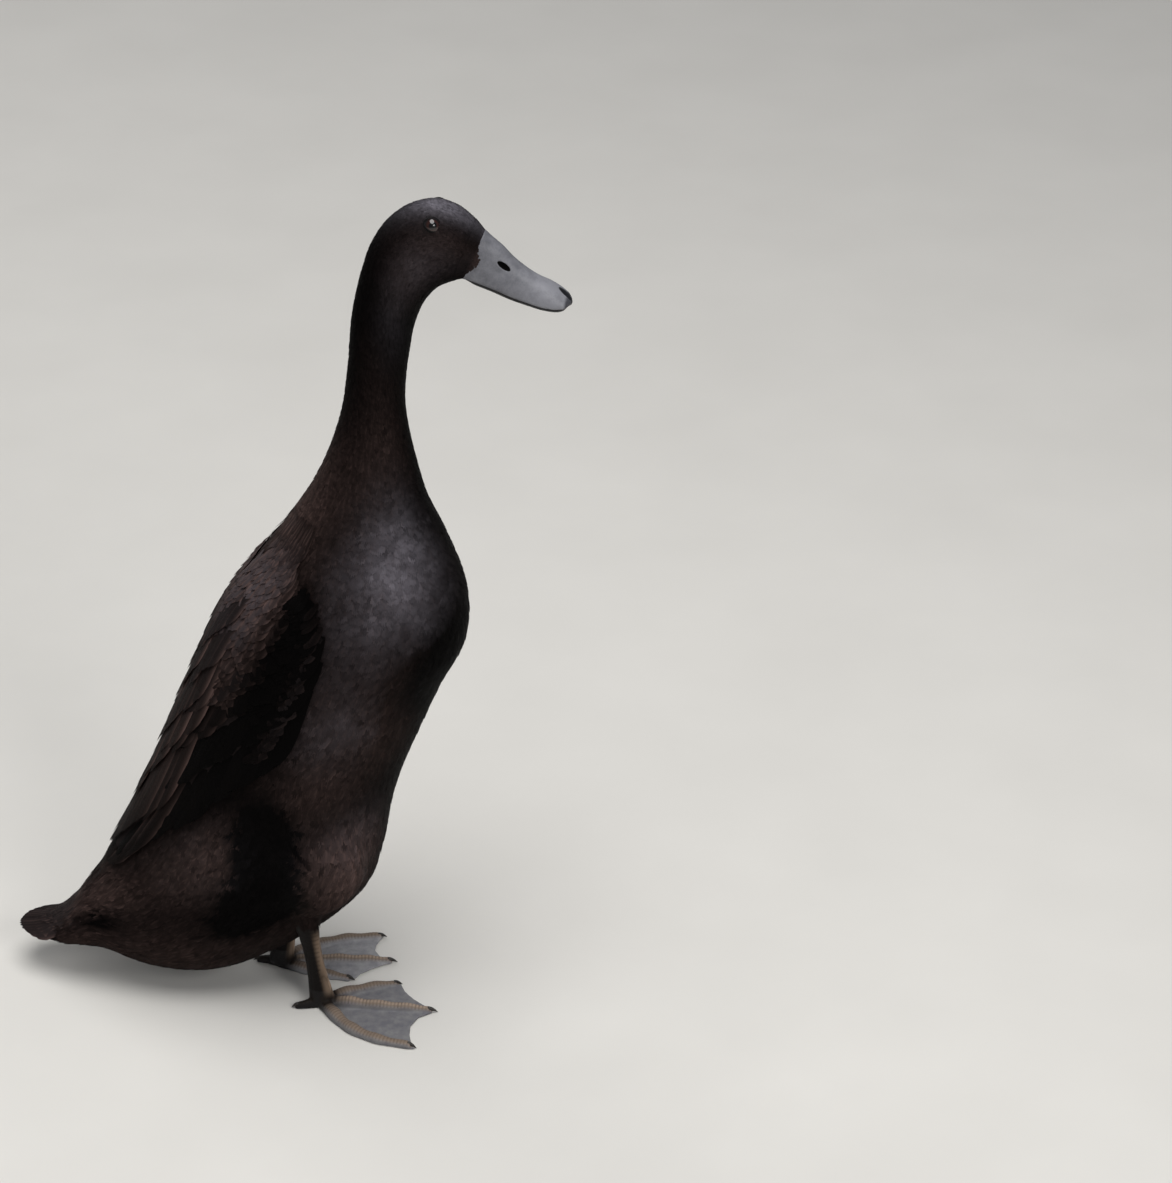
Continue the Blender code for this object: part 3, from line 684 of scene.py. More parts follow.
@dataclass
class Trunk:
    """The bird's outer form from the bill's root to the tail, as upright ovals.

    Soft lumps of the real bird, such as cheeks and thighs, are added as relief over the ovals.
    """

    rows: tuple = TRUNK_ROWS
    # Relief: along, turn, reach along, reach in degrees, height. Each stands on both sides.
    lumps: tuple = (
        ("brow", 16, 48, 10, 15, 0.6),
        ("face", 12, 92, 10, 16, -1),
        ("hind_crown", 2, 108, 15, 24, 1),
        ("keel", 6, 180, 40, 26, 1.5),
        ("belly", 22, 88, 15, 7, -2.6),
        ("low_belly", 14, 94, 20, 7, -3.4),
        ("hip", 8, 104, 20, 8, -4),
        ("thigh", 12, 116, 18, 9, -4),
        ("hip", -4, 72, 34, 18, 2),
        ("vent", 4, 57, 26, 14, -1.3),
    )
    thigh_most: float = 11.0
    bulge_step: tuple = (2.5, 3.0)
    meet_reach: float = 7.0

    def __post_init__(self) -> None:
        """Works out the middle line and starts without thighs and bill."""
        self.names = [row[0] for row in self.rows]
        self.profile = Profile.line(tuple(row[1:] for row in self.rows))
        self.bulges = np.zeros((2, 2))
        self.bulge_from = 0.0
        self.meet_turns = np.arange(0, 181, 3.0)
        self.meet_steps = np.zeros(len(self.meet_turns))

    def at(self, name: str) -> float:
        """The distance along the middle line of a named oval."""
        return float(self.profile.knots[self.names.index(name)])

    def oval(self, along: Array) -> tuple[Array, ...]:
        """Centre, half depth, half width and power of the ovals at along."""
        v = self.profile.read(along)
        return (v[:, 0:2] + v[:, 2:4]) / 2, (v[:, 0:2] - v[:, 2:4]) / 2, v[:, 4], v[:, 5]

    def patches(self, table: tuple, along: Array, turn: Array) -> Array:
        """Reads soft round patches, each of which stands on both sides.

        Args:
            table: Rows of an oval's name, distance after it, turn, reach along, reach in degrees
                and strength.
            along: Distances along the middle line.
            turn: Degrees from the back.

        Returns:
            The sum of the patches at each place.
        """
        total = np.zeros_like(along)
        side = fold(turn)
        for name, more, middle, reach, degrees, strength in table:
            far = ((along - self.at(name) - more) / reach) ** 2 + ((side - middle) / degrees) ** 2
            total = total + strength * np.exp(-far)
        return total

    def relief(self, along: Array, turn: Array) -> Array:
        """Height of the lumps and of the thighs over the ovals.

        Args:
            along: Distances down the middle line.
            turn: Degrees from the back.

        Returns:
            One height for each place.
        """
        meet = np.interp(fold(turn), self.meet_turns, self.meet_steps)
        high = self.patches(self.lumps, along, turn) + meet * np.exp(-((along / self.meet_reach) ** 2))
        rows, columns = self.bulges.shape
        r = np.clip((along - self.bulge_from) / self.bulge_step[0], 0, rows - 1.001)
        c = (turn % 360) / self.bulge_step[1] % columns
        r0, c0 = r.astype(int), c.astype(int)
        r, c, c1 = r - r0, c - c0, (c0 + 1) % columns
        low, top = (self.bulges[n, c0] * (1 - c) + self.bulges[n, c1] * c for n in (r0, r0 + 1))
        return high + low * (1 - r) + top * r

    def surface(self, along: Array, turn: Array, lift: Array | float) -> Array:
        """Points on the form.

        Args:
            along: Distances along the middle line.
            turn: Degrees from the back.
            lift: Heights over the form.

        Returns:
            One point a row.
        """
        centre, deep, wide, power = self.oval(along)
        angle = np.radians(turn)
        up, out = (signed_power(part, 2 / power) for part in (np.cos(angle), np.sin(angle)))
        lift = lift + self.relief(along, turn)
        reach = up * (1 + lift / np.linalg.norm(deep, axis=1))
        x, z = (centre[:, k] + deep[:, k] * reach for k in (0, 1))
        return np.stack([x, (wide + lift) * out, z], axis=1)

    def scales(self, along: Array, turn: Array) -> tuple[Array, Array]:
        """Millimetres on the form for one step of along and for one degree of turn.

        Args:
            along: Distances down the middle line.
            turn: Degrees from the back.

        Returns:
            The two lengths for each place.
        """
        sizes = []
        for a, t in ((1, 0), (0, 1)):
            step = self.surface(along + a, turn + t, 0) - self.surface(along - a, turn - t, 0)
            sizes.append(np.linalg.norm(step, axis=1) / 2)
        return np.maximum(sizes[0], 0.15), np.maximum(sizes[1], 0.05)

    def take_bill(self, root: Array) -> None:
        """Lets the face end flush with the bill.

        Args:
            root: Points around the bill's root.
        """
        zero = np.zeros(len(self.meet_turns))
        x, z = self.oval(zero[:1])[0][0]
        ring = self.surface(zero, self.meet_turns, 0.0) - (x, 0, z)
        root = root - (x, 0, z)
        ring_far, root_far = np.linalg.norm(ring, axis=1), np.linalg.norm(root, axis=1)
        close = (ring / ring_far[:, None]) @ (root / root_far[:, None]).T
        nearest = close.argmax(axis=1)
        # Under the mouth no bill's root is near, and the chin keeps its oval.
        share = soft_step(0.95, 0.99, close.max(axis=1))
        self.meet_steps = (root_far[nearest] - ring_far) * share

    def take_thighs(self, thighs: list[Object]) -> None:
        """Reads how far the thighs' solids stand out of the ovals, and smooths it.

        Args:
            thighs: The CAD nodes of both thighs.
        """
        trees = []
        for mesh in (thigh.data for thigh in thighs):
            places = [v.co / MM for v in mesh.vertices]
            trees.append(BVHTree.FromPolygons(places, [p.vertices for p in mesh.polygons]))
        self.bulge_from = self.at("mid_body")
        rows = int((self.at("vent") - self.bulge_from) / self.bulge_step[0])
        columns = int(360 / self.bulge_step[1])
        found = np.zeros((rows, columns))
        for r in range(rows):
            along = np.full(columns, self.bulge_from + r * self.bulge_step[0])
            turn = np.arange(columns) * self.bulge_step[1]
            centre = self.oval(along[:1])[0][0]
            middle = Vector((centre[0], 0, centre[1]))
            for c, place in enumerate(self.surface(along, turn, 0)):
                ray = Vector(place) - middle
                start = middle + ray.normalized() * (ray.length + 60)
                for tree in trees:
                    hit = tree.ray_cast(start, -ray.normalized())[0]
                    if hit is not None:
                        found[r, c] = max(found[r, c], (hit - middle).length - ray.length)
        found = np.clip(found, 0, self.thigh_most)
        for _ in range(5):
            padded = np.pad(found, ((1, 1), (0, 0)))
            found = (padded[:-2] + padded[2:] + 2 * found) / 4
            found = (np.roll(found, 1, 1) + np.roll(found, -1, 1) + 2 * found) / 4
        self.bulges = found


@dataclass
class Markings:
    """Patches where the black plumage is greyer or browner, some of them painted highlights and shade."""

    trunk: Trunk
    # Along, turn, reach along, reach in degrees, strength. Each stands on both sides.
    grey: tuple = (
        # The crown and brow are partly grey feathers and partly a painted highlight on the top of the head.
        ("crown", -6, 0, 18, 27, 0.6),
        ("brow", -2, 0, 14, 30, 0.3),
        ("hind_crown", -5, 94, 24, 26, 0.15),
        ("throat", -12, 112, 24, 30, 0.08),
        # The upper breast is partly grey feathers and partly a painted highlight where light falls.
        ("collar", 8, 122, 28, 26, 0.34),
        ("shoulder", 6, 120, 30, 32, 0.46),
        ("breast", 20, 106, 34, 24, 0.08),
        # Painted shade low on the breast's front.
        ("keel", 8, 150, 44, 26, -0.16),
        ("flank", 8, 112, 28, 18, 0.2),
        ("low_belly", 0, 142, 30, 20, 0.16),
        ("hip", -10, 70, 30, 18, 0.06),
        # Painted shadow in the cleft between the breast and the wing's front edge.
        ("keel", -6, 62, 26, 11, -0.8),
    )
    brown: tuple = (
        ("brow", 4, 60, 30, 60, 0.1),
        ("hind_crown", 0, 95, 26, 30, 0.14),
        ("neck_base", 10, 60, 34, 50, 0.13),
        ("collar", 10, 14, 40, 36, 0.6),
        ("shoulder", 10, 110, 50, 60, 0.14),
        ("flank", 0, 112, 50, 30, 0.25),
        ("mid_body", 22, 112, 26, 20, 0.3),
        ("hip", -22, 76, 26, 14, 0.35),
        ("hip", 4, 66, 34, 24, 0.34),
        ("vent_front", 0, 36, 44, 26, 0.6),
        ("low_belly", 18, 140, 36, 26, 0.85),
        ("mid_body", -20, 142, 34, 22, 0.2),
        ("vent", -6, 80, 30, 40, 0.12),
        ("tail_root", -6, 10, 30, 36, 0.7),
        # Painted shadow in the cleft between the breast and the wing's front edge.
        ("keel", -6, 62, 26, 11, -0.8),
        # Painted shade along the crease between the thigh and the flank.
        ("belly", 30, 92, 20, 9, -0.7),
        ("low_belly", 20, 100, 28, 10, -1),
        ("hip", 20, 108, 24, 11, -1),
        # Painted shade in the hollow by the vent.
        ("vent", 2, 58, 34, 14, -0.36),
        # Painted light in the shaded hollow beside the tail's root.
        ("tail_root", 0, 92, 30, 34, 0.3),
        ("vent", -16, 120, 44, 44, 0.26),
        ("throat", 46, 110, 40, 50, 0.1),
        ("neck_base", -16, 110, 26, 40, 0.15),
        ("face", 4, 74, 16, 18, 0.12),
        # Painted shade low on the breast's front.
        ("keel", 8, 150, 44, 26, -0.16),
    )

    def read(self, patches: tuple, along: Array, turn: Array) -> Array:
        """Strength of a set of patches, at most 1."""
        return np.clip(self.trunk.patches(patches, along, turn), 0, 1)

    def marks(self, along: Array, turn: Array) -> Marks:
        """Markings of places on the trunk, by attribute name."""
        sets = ((Mark.GREY, self.grey), (Mark.BROWN, self.brown))
        return {mark.value: self.read(patches, along, turn) for mark, patches in sets}


# Feathers.


@dataclass(frozen=True)
class VaneShape:
    """The outline of one kind of feather as a small grid, which may end in loose barbs."""

    # Share of the length and of the half width from the root to the tip.
    rows: tuple = ((0.0, 0.45), (0.3, 0.85), (0.62, 1.0), (0.82, 0.86))
    columns: int = 5
    barbs: bool = True
    tip: float = 0.3

    def grid(self) -> tuple[Array, ...]:
        """Builds the grid.

        Returns:
            Share of the length, share of the half width, and the faces.
        """
        edge = np.linspace(-1, 1, self.columns)
        rows = np.array(self.rows, float)
        down = np.repeat(rows[:, 0], self.columns)
        across = (rows[:, 1:] * edge).ravel()
        faces = grid_faces(len(rows), self.columns, False)
        if not self.barbs:
            return down - np.tile(edge, len(rows)) ** 2 * self.tip * down**3, across, faces
        middle = (edge[1:] + edge[:-1]) / 2
        first, start = len(down), (len(rows) - 1) * self.columns
        ends = np.array([(start + k, start + k + 1, first + k, -1) for k in range(self.columns - 1)])
        down = np.concatenate([down, 1 - self.tip * middle**2])
        across = np.concatenate([across, middle * rows[-1, 1] * 0.94])
        return down, across, np.concatenate([faces, ends])


BODY_VANE = VaneShape()
SMALL_VANE = VaneShape(rows=((0.0, 0.45), (0.45, 1.0), (0.8, 0.8)), columns=4)
WING_VANE = VaneShape(
    (
        (0, 0.4), (0.15, 0.62), (0.3, 0.8), (0.45, 0.92), (0.6, 1), (0.74, 1), (0.86, 0.86),
        (0.94, 0.62), (1, 0.3),
    ),
    columns=7, barbs=False, tip=0.05,
)
TAIL_VANE = VaneShape(
    ((0, 0.5), (0.2, 0.75), (0.4, 0.94), (0.6, 1), (0.8, 1), (0.92, 0.92), (0.97, 0.78), (1, 0.52)),
    columns=7, barbs=False, tip=0.04,
)


@dataclass
class Plumes:
    """A set of feathers to be laid on a form. One number stands for the same on every feather."""

    along: Array
    across: Array
    long: Array | float
    wide: Array | float
    low: Array | float
    high: Array | float
    lean: Array | float
    tuck: Array | float
    camber: float = 0.25
    rise_power: float = 0.8

    def __post_init__(self) -> None:
        """Gives each feather an entry of its own."""
        count = np.size(self.along)
        for name in ("along", "across", "long", "wide", "low", "high", "lean", "tuck"):
            setattr(self, name, np.broadcast_to(np.asarray(getattr(self, name), float), (count,)))


def lay(
    plumes: Plumes,
    shape: VaneShape,
    surface: Reader,
    scales: tuple[Array | float, Array | float],
    ragged: float,
    chance: np.random.Generator,
) -> tuple[Array, ...]:
    """Lays feathers on a form.

    Args:
        plumes: Where they root, their sizes and how they lie.
        shape: Their outline.
        surface: Gives points for along, across and lift.
        scales: Millimetres for one step of along and of across, at each root.
        ragged: How unevenly the tip's barbs end.
        chance: The seeded source of the unevenness.

    Returns:
        Points, faces, and each point's place on its vane as a pair.
    """
    down, side, faces = shape.grid()
    count, each = len(plumes.along), len(down)
    u, v = np.tile(side, (count, 1)), np.tile(down, (count, 1))
    v = v * (1 + ragged * chance.uniform(-0.4, 1, (count, each)) * (down > 0.85))
    forward, beside = v * plumes.long[:, None], u * plumes.wide[:, None]
    turn = plumes.lean[:, None]
    ahead = forward * np.cos(turn) - beside * np.sin(turn)
    aside = forward * np.sin(turn) + beside * np.cos(turn)
    lift = plumes.low[:, None] + (plumes.high - plumes.low)[:, None] * np.clip(v, 0, 1.2) ** plumes.rise_power
    arch = plumes.camber * u**2 * np.clip(plumes.wide[:, None] * 0.25, 0.3, 1.5)
    lift = lift - arch + plumes.tuck[:, None] * u * np.minimum(1, 2 * v)
    along = plumes.along[:, None] + ahead / np.reshape(scales[0], (-1, 1))
    across = plumes.across[:, None] + aside / np.reshape(scales[1], (-1, 1))
    points = surface(along.ravel(), across.ravel(), lift.ravel())
    steps = np.arange(count)[:, None, None] * each
    all_faces = np.where(faces[None] >= 0, faces[None] + steps, -1).reshape(-1, 4)
    return points, all_faces, np.stack([u.ravel(), v.ravel()], axis=1)


def own_shade(
    chance: np.random.Generator, spread: float, count: int, limits: tuple[float, float] = (0.6, 1.5)
) -> Array:
    """Draws each feather's own lightness, about 1 and within the limits."""
    return np.clip(chance.normal(1, spread, count), *limits)


def coat_piece(
    name: str,
    laid: tuple[Array, ...],
    roots: Array,
    marks: dict[str, Array | float],
    finish: FeatherFinish,
) -> Object:
    """Makes a piece of feathers.

    Args:
        name: The piece's name.
        laid: The feathers' points, faces and places on their vanes.
        roots: Each feather's place on the skin's unwrap, as pairs from 0 to 1.
        marks: Markings, as one number for all, for each feather or for each point.
        finish: The feathers' finish.

    Returns:
        The piece. In OFBake each feather is a small patch at its root's place.
    """
    points, faces, vane = laid
    full = {label: np.repeat(values, len(points) // np.size(values)) for label, values in marks.items()}
    patch = np.repeat(roots, len(points) // len(roots), axis=0) * (1 - 4 * PATCH) + 2 * PATCH
    maps = {"OFBake": patch + vane * (PATCH / 2, PATCH), "Vane": vane}
    return make_object(name, points, faces, finish.material(), full, maps)


def scatter(
    trunk: Trunk,
    reach: tuple[float, float],
    spacing: tuple[float, float],
    bare: Reader,
    chance: np.random.Generator,
) -> Array:
    """Spreads roots evenly over a stretch of the trunk, none nearer to another than the spacing.

    Args:
        trunk: The form.
        reach: Where the stretch starts and ends along.
        spacing: Least distance between roots at its start and end.
        bare: Whether a place takes no root, for along, turn and point.
        chance: The seeded source of the places.

    Returns:
        Pairs of along and turn.
    """
    step, sector = 1.5, 3.0
    grid = np.meshgrid(np.arange(*reach, step), np.arange(0, 360, sector), indexing="ij")
    a, t = (part.ravel() for part in grid)
    down, around = trunk.scales(a + step / 2, t + sector / 2)
    weight = down * around * step * sector / between(spacing, share_of(reach, a)) ** 2
    cells = chance.choice(len(a), int(weight.sum() * 3.2), p=weight / weight.sum())
    along = a[cells] + chance.uniform(0, step, len(cells))
    turn = t[cells] + chance.uniform(0, sector, len(cells))
    points = trunk.surface(along, turn, 0)
    fits = ~bare(along, turn, points)
    along, turn, points = along[fits], turn[fits], points[fits]
    apart = between(spacing, share_of(reach, along))
    least = (apart**2).tolist()
    keys = np.floor(points / float(apart.max())).astype(int).tolist()
    near = [(i, j, k) for i in (-1, 0, 1) for j in (-1, 0, 1) for k in (-1, 0, 1)]
    taken: dict[tuple[int, int, int], list[tuple[float, float, float]]] = {}
    chosen = []
    for n, (x, y, z) in enumerate(points.tolist()):
        kx, ky, kz = keys[n]
        crowded = any(
            (p - x) ** 2 + (q - y) ** 2 + (r - z) ** 2 < least[n]
            for i, j, k in near
            for p, q, r in taken.get((kx + i, ky + j, kz + k), ())
        )
        if not crowded:
            taken.setdefault((kx, ky, kz), []).append((x, y, z))
            chosen.append(n)
    return np.stack([along[chosen], turn[chosen]], axis=1)


@dataclass
class Coat:
    """One stretch of small body feathers, with its sizes at its start and its end."""

    name: str
    start: str
    end: str
    spacing: tuple[float, float]
    long: tuple[float, float]
    wide: tuple[float, float]
    depth: tuple[float, float]
    shape: VaneShape
    finish: FeatherFinish
    before: float = 0.0
    after: float = 0.0
    ragged: float = 0.06
    shade: float = 0.16
    lean: float = 0.12
    # Least and most size, how deep the root sinks, how far down in the coat's depth the tips lie.
    sizes: tuple = (0.88, 1.14)
    sunk: float = 0.3
    tips_down: float = 0.35

    def build(self, trunk: Trunk, markings: Markings, bare: Reader, seed: int) -> Object:
        """Roots the feathers and lays them towards the tail.

        Args:
            trunk: The form they lie on.
            markings: Gives each feather its marks.
            bare: Tells the places that take no feather.
            seed: Start of the random draws.

        Returns:
            The coat piece.
        """
        chance = np.random.default_rng(seed)
        reach = (trunk.at(self.start) + self.before, trunk.at(self.end) + self.after)
        roots = scatter(trunk, reach, self.spacing, bare, chance)
        roots = roots[np.argsort(-roots[:, 0])]
        along, turn = roots[:, 0], roots[:, 1]
        share, count = share_of(reach, along), len(along)
        grow = chance.uniform(*self.sizes, count)
        long, wide = (between(pair, share) * grow for pair in (self.long, self.wide))
        deep = between(self.depth, share)
        plumes = Plumes(
            along, turn, long, wide,
            low=-deep - self.sunk,
            high=-self.tips_down * deep * chance.uniform(0.4, 1.2, count),
            lean=chance.normal(0, self.lean, count),
            tuck=chance.normal(0, 0.12, count),
        )
        down, around = trunk.scales(along, turn)
        laid = lay(plumes, self.shape, trunk.surface, (down, around), self.ragged, chance)
        shade = own_shade(chance, self.shade, count, (0.55, 1.6))
        # A vane takes its marks from the places it covers, read near its tip.
        each = len(laid[0]) // count
        under = np.repeat(along, each) + (laid[2][:, 1] - 0.8) * np.repeat(long / down, each)
        beside = np.repeat(turn, each) + laid[2][:, 0] * np.repeat(wide / around, each)
        marks = markings.marks(under, beside) | {Mark.SHADE.value: shade}
        unwrap = np.stack([(turn % 360) / 360, share], axis=1)
        return coat_piece(self.name, laid, unwrap, marks, self.finish)


@dataclass
class Skin:
    """The bird's skin with its down, a coat's depth inside the feathers."""

    trunk: Trunk
    markings: Markings
    sides: int = 112
    # Depth of the coat at named ovals.
    depth: tuple = (
        ("bill_root", 0.45), ("crown", 0.6), ("throat", 0.8), ("collar", 1.2), ("keel", 1.6),
        ("hip", 1.8), ("vent", 2), ("tail_root", 2), ("fan_middle", 2),
    )
    finish: DownFinish = DownFinish()

    def depth_at(self, along: Array) -> Array:
        """The coat's depth at distances along the trunk."""
        names, deep = zip(*self.depth)
        return np.interp(along, [self.trunk.at(name) for name in names], deep)

    def build(self) -> Object:
        """Lofts the skin in one piece, with finer rings on the head.

        Returns:
            The skin.
        """
        throat, end = self.trunk.at("throat"), self.trunk.at("fan_middle")
        along = np.concatenate([np.arange(0, throat, 1.6), np.arange(throat, end, 3.2)])
        turn = np.linspace(0, 360, self.sides, endpoint=False)
        a, d = np.repeat(along, self.sides), np.tile(turn, len(along))
        rings = self.trunk.surface(a, d, -self.depth_at(a)).reshape(len(along), self.sides, 3)
        points, faces = loft(rings)
        marks = self.markings.marks(a, d)
        marks = {label: np.append(values, [0.0, 0.0]) for label, values in marks.items()}
        unwrap = np.append(np.stack([d / 360, a / a.max()], axis=1), [[0.5, 0.0], [0.5, 1.0]], axis=0)
        return make_object("skin", points, faces, self.finish.material(), marks, {"OFBake": unwrap})


@dataclass(frozen=True)
class Tier:
    """A row of flight feathers or coverts on the folded wing, from its first tip to its last."""

    name: str
    first: tuple[float, float]
    last: tuple[float, float]
    bow: float
    count: int
    long: float
    wide: float
    drift: float
    rise: float
    step: float
    tuck: float
    brown: float = 0.3
    grey: float = 0.15
    stagger: float = 2.0


@dataclass
class Wing:
    """A folded wing: a bed over the body, and its feathers in tiers from the flight feathers up."""

    side: Side
    trunk: Trunk
    markings: Markings
    # Along, turn of the lower edge, turn of the upper edge, thickness of the bed.
    rows: tuple = (
        (254, 50, 32, 0.8), (262, 63, 18, 2.4), (280, 75, 12, 4.2), (305, 80, 10, 5), (350, 82, 10, 4.8),
        (381, 77, 10, 4.4), (406, 70, 10, 3.8), (440, 52, 10, 3.2), (470, 37, 10, 2.4), (496, 27, 14, 1.2),
    )
    tiers: tuple = (
        Tier("primary", (527, 21), (488, 34), 0, 7, 84, 4.4, -15, 0.3, 0.32, 0.35, 0.8, 0, 1.2),
        Tier("secondary", (470, 41), (383, 83), 3, 10, 62, 6.6, -4, 1.2, 0, 0.8, 0.03, 0, 1.5),
        Tier("primary_covert", (500, 24), (448, 50), 1, 8, 54, 5.4, -8, 1, 0, 0.6, 0.02, 0, 2),
        Tier("greater_covert", (438, 34), (342, 81), 2, 11, 46, 6.6, -4, 1.3, 0, 0.8, 0.02, 0, 3),
        Tier("median_covert", (408, 26), (318, 78), 2, 12, 38, 6.2, -3, 1.4, 0, 0.7, 0.2, 0, 5),
        Tier("lesser_covert", (380, 24), (302, 73), 2, 12, 32, 5.6, -2, 1.5, 0, 0.6, 0.45, 0.04, 5),
        Tier("tertial", (446, 39), (506, 6), 0, 8, 88, 6.6, -3, 1.9, 0.05, 0.9, 0.8, 0, 3),
        Tier("lower_scapular", (386, 39), (464, 4), 0, 10, 74, 5.8, -2, 2.1, 0.06, 0.8, 0.7, 0, 10),
        Tier("scapular", (356, 38), (424, 3), 0, 10, 64, 5.4, -1, 2.3, 0.06, 0.7, 0.65, 0.02, 10),
        Tier("upper_scapular", (326, 36), (388, 3), 0, 10, 52, 5, -1, 2.4, 0.06, 0.6, 0.6, 0.06, 8),
        Tier("mantle_scapular", (304, 32), (354, 3), 0, 9, 42, 4.6, 0, 2.4, 0.06, 0.5, 0.5, 0.08, 6),
    )
    # Sets of small feathers: start and end along, distance between them, length, half width,
    # height of the tips, first and last turn past the wing's upper and lower edge, lean.
    small: tuple = (
        ("coverts", 246, 346, 4.6, 17, 3.1, 1.3, -8, -1, 0),
        ("cape", 228, 256, 3, 14, 2.3, 1, -14, 2, 0),
        ("pocket", 262, 380, 3.2, 14, 2.4, 1.4, 99, 5, -0.3),
    )
    mm_per_degree: float = 1.1
    edge_thick: float = 0.8
    cape_fade: tuple = (222.0, 262.0)
    sink: float = 1.8
    least: float = 0.35
    finish: FeatherFinish = FeatherFinish("wing_feather", roughness=0.55, barbs=40.0, worn=0.6)
    bed: DownFinish = DownFinish("wing_down")

    def __post_init__(self) -> None:
        """Reads the bed's edges and thickness."""
        self.edges = Profile.table(self.rows)

    def height(self, along: Array, turn: Array) -> Array:
        """Height of the bed over the trunk.

        Args:
            along: Distances down the middle line.
            turn: Degrees from the back.

        Returns:
            One height for each place.
        """
        v = self.edges.read(along)
        q = (turn - v[:, 0]) / (v[:, 1] - v[:, 0])
        inside = (along > self.edges.knots[0]) & (along < self.edges.end)
        arch = np.where(inside, np.clip(4 * q * (1 - q), 0, 1), 0)
        return np.maximum(self.edge_thick + (v[:, 2] - self.edge_thick) * np.sqrt(arch), self.edge_thick)

    def surface(self, along: Array, across: Array, lift: Array) -> Array:
        """Points at a lift over the bed, on this side of the bird.

        Args:
            along: Distances down the middle line.
            across: Millimetres round from the back.
            lift: Heights over the bed.

        Returns:
            One point for each place.
        """
        turn = across / self.mm_per_degree
        # Behind the bed the long tips lie down on the rump.
        lift = np.where(lift > 0, lift * (0.25 + 0.75 * soft_step(512, 462, along)), lift)
        # In front the cape grows out of the back without a step.
        high = (self.height(along, turn) + lift) * soft_step(*self.cape_fade, along)
        high = np.maximum(high, self.least - 1.4 * soft_step(self.cape_fade[1], self.cape_fade[0], along))
        points = self.trunk.surface(along, turn, high)
        points[:, 1] *= self.side.value
        return points

    def make_bed(self) -> Object:
        """The plump bed of down and small feathers under the tiers.

        Returns:
            The bed.
        """
        rings, columns = 60, 28
        along = np.linspace(self.edges.knots[0], self.edges.end, rings)
        v = self.edges.read(along)
        share = np.linspace(0, 1, columns)
        turn = v[:, :1] + (v[:, 1:2] - v[:, :1]) * share[None]
        edge = np.clip(np.minimum(share, 1 - share) * 14, 0, 1)
        a, t = np.repeat(along, columns), turn.ravel()
        lift = -0.5 - 2.6 * (1 - np.tile(edge, rings))
        points = self.trunk.surface(a, t, self.height(a, t) + lift)
        points[:, 1] *= self.side.value
        unwrap = np.stack([np.tile(share, rings), share_of((a[0], a[-1]), a)], axis=1)
        marks = {Mark.GREY.value: 0.03, Mark.BROWN.value: 0.15}
        faces = outward(points, grid_faces(rings, columns, False), np.array([-60.0, 0.0, 230.0]))
        name = f"wing_bed_{self.side.tag}"
        return make_object(name, points, faces, self.bed.material(), marks, {"OFBake": unwrap})

    def tier_plumes(self, tier: Tier, chance: np.random.Generator) -> Plumes:
        """Roots one tier's feathers.

        Args:
            tier: The tier.
            chance: The seeded source of its unevenness.

        Returns:
            Its feathers.
        """
        count = tier.count
        share = np.linspace(0, 1, count)
        tip_along, turn = (between(ends, share) for ends in zip(tier.first, tier.last))
        tip_along = tip_along + chance.uniform(-1, 1, count) * tier.stagger
        turn = turn + tier.bow * 4 * share * (1 - share)
        long = tier.long * chance.uniform(0.94, 1.06, count)
        tip = np.stack([tip_along, turn * self.mm_per_degree], axis=1)
        root = np.stack([tip_along - long, (turn - tier.drift) * self.mm_per_degree], axis=1)
        ahead = tip - root
        return Plumes(
            root[:, 0], root[:, 1], np.linalg.norm(ahead, axis=1),
            wide=tier.wide * chance.uniform(0.9, 1.08, count),
            low=-self.sink,
            high=tier.rise + tier.step * np.arange(count) + chance.uniform(-0.15, 0.25, count),
            lean=np.arctan2(ahead[:, 1], ahead[:, 0]) + chance.normal(0, 0.02, count),
            tuck=tier.tuck * chance.uniform(0.7, 1.2, count),
            camber=0.75, rise_power=0.5,
        )

    def small_plumes(self, small: tuple, chance: np.random.Generator) -> Plumes:
        """Roots one set of small feathers in uneven rows.

        Args:
            small: The set's sizes.
            chance: The seeded source of its unevenness.

        Returns:
            Its feathers.
        """
        _, start, end, apart, long, wide, high, above, below, lean = small
        gap = apart / self.mm_per_degree
        along, turn = [], []
        for number, spot in enumerate(np.arange(start, end, apart)):
            low, top, _ = self.edges.read(np.array([spot]))[0]
            places = np.arange(min(top + above, low - 2) + gap / 2 * (number % 2), low + below, gap)
            turn.extend(places + chance.uniform(-0.3, 0.3, len(places)) * gap)
            along.extend(spot - 0.5 * long + chance.uniform(-0.5, 0.5, len(places)) * apart)
        count = len(along)
        grow = chance.uniform(0.85, 1.15, count)
        return Plumes(
            np.array(along), np.array(turn) * self.mm_per_degree, long * grow, wide * grow,
            low=-self.sink, high=high + chance.uniform(-0.3, 0.3, count),
            lean=lean + chance.normal(0.0, 0.1, count), tuck=chance.normal(0, 0.12, count),
            camber=0.4, rise_power=0.7,
        )

    def small_marks(self, name: str, plumes: Plumes) -> tuple[Array, Array]:
        """Marks of a set of small feathers.

        Args:
            name: The set's name.
            plumes: Its feathers.

        Returns:
            How brown and how grey each of them is, painted highlight of the shoulder included.
        """
        tips, turns = plumes.along + 0.8 * plumes.long, plumes.across / self.mm_per_degree
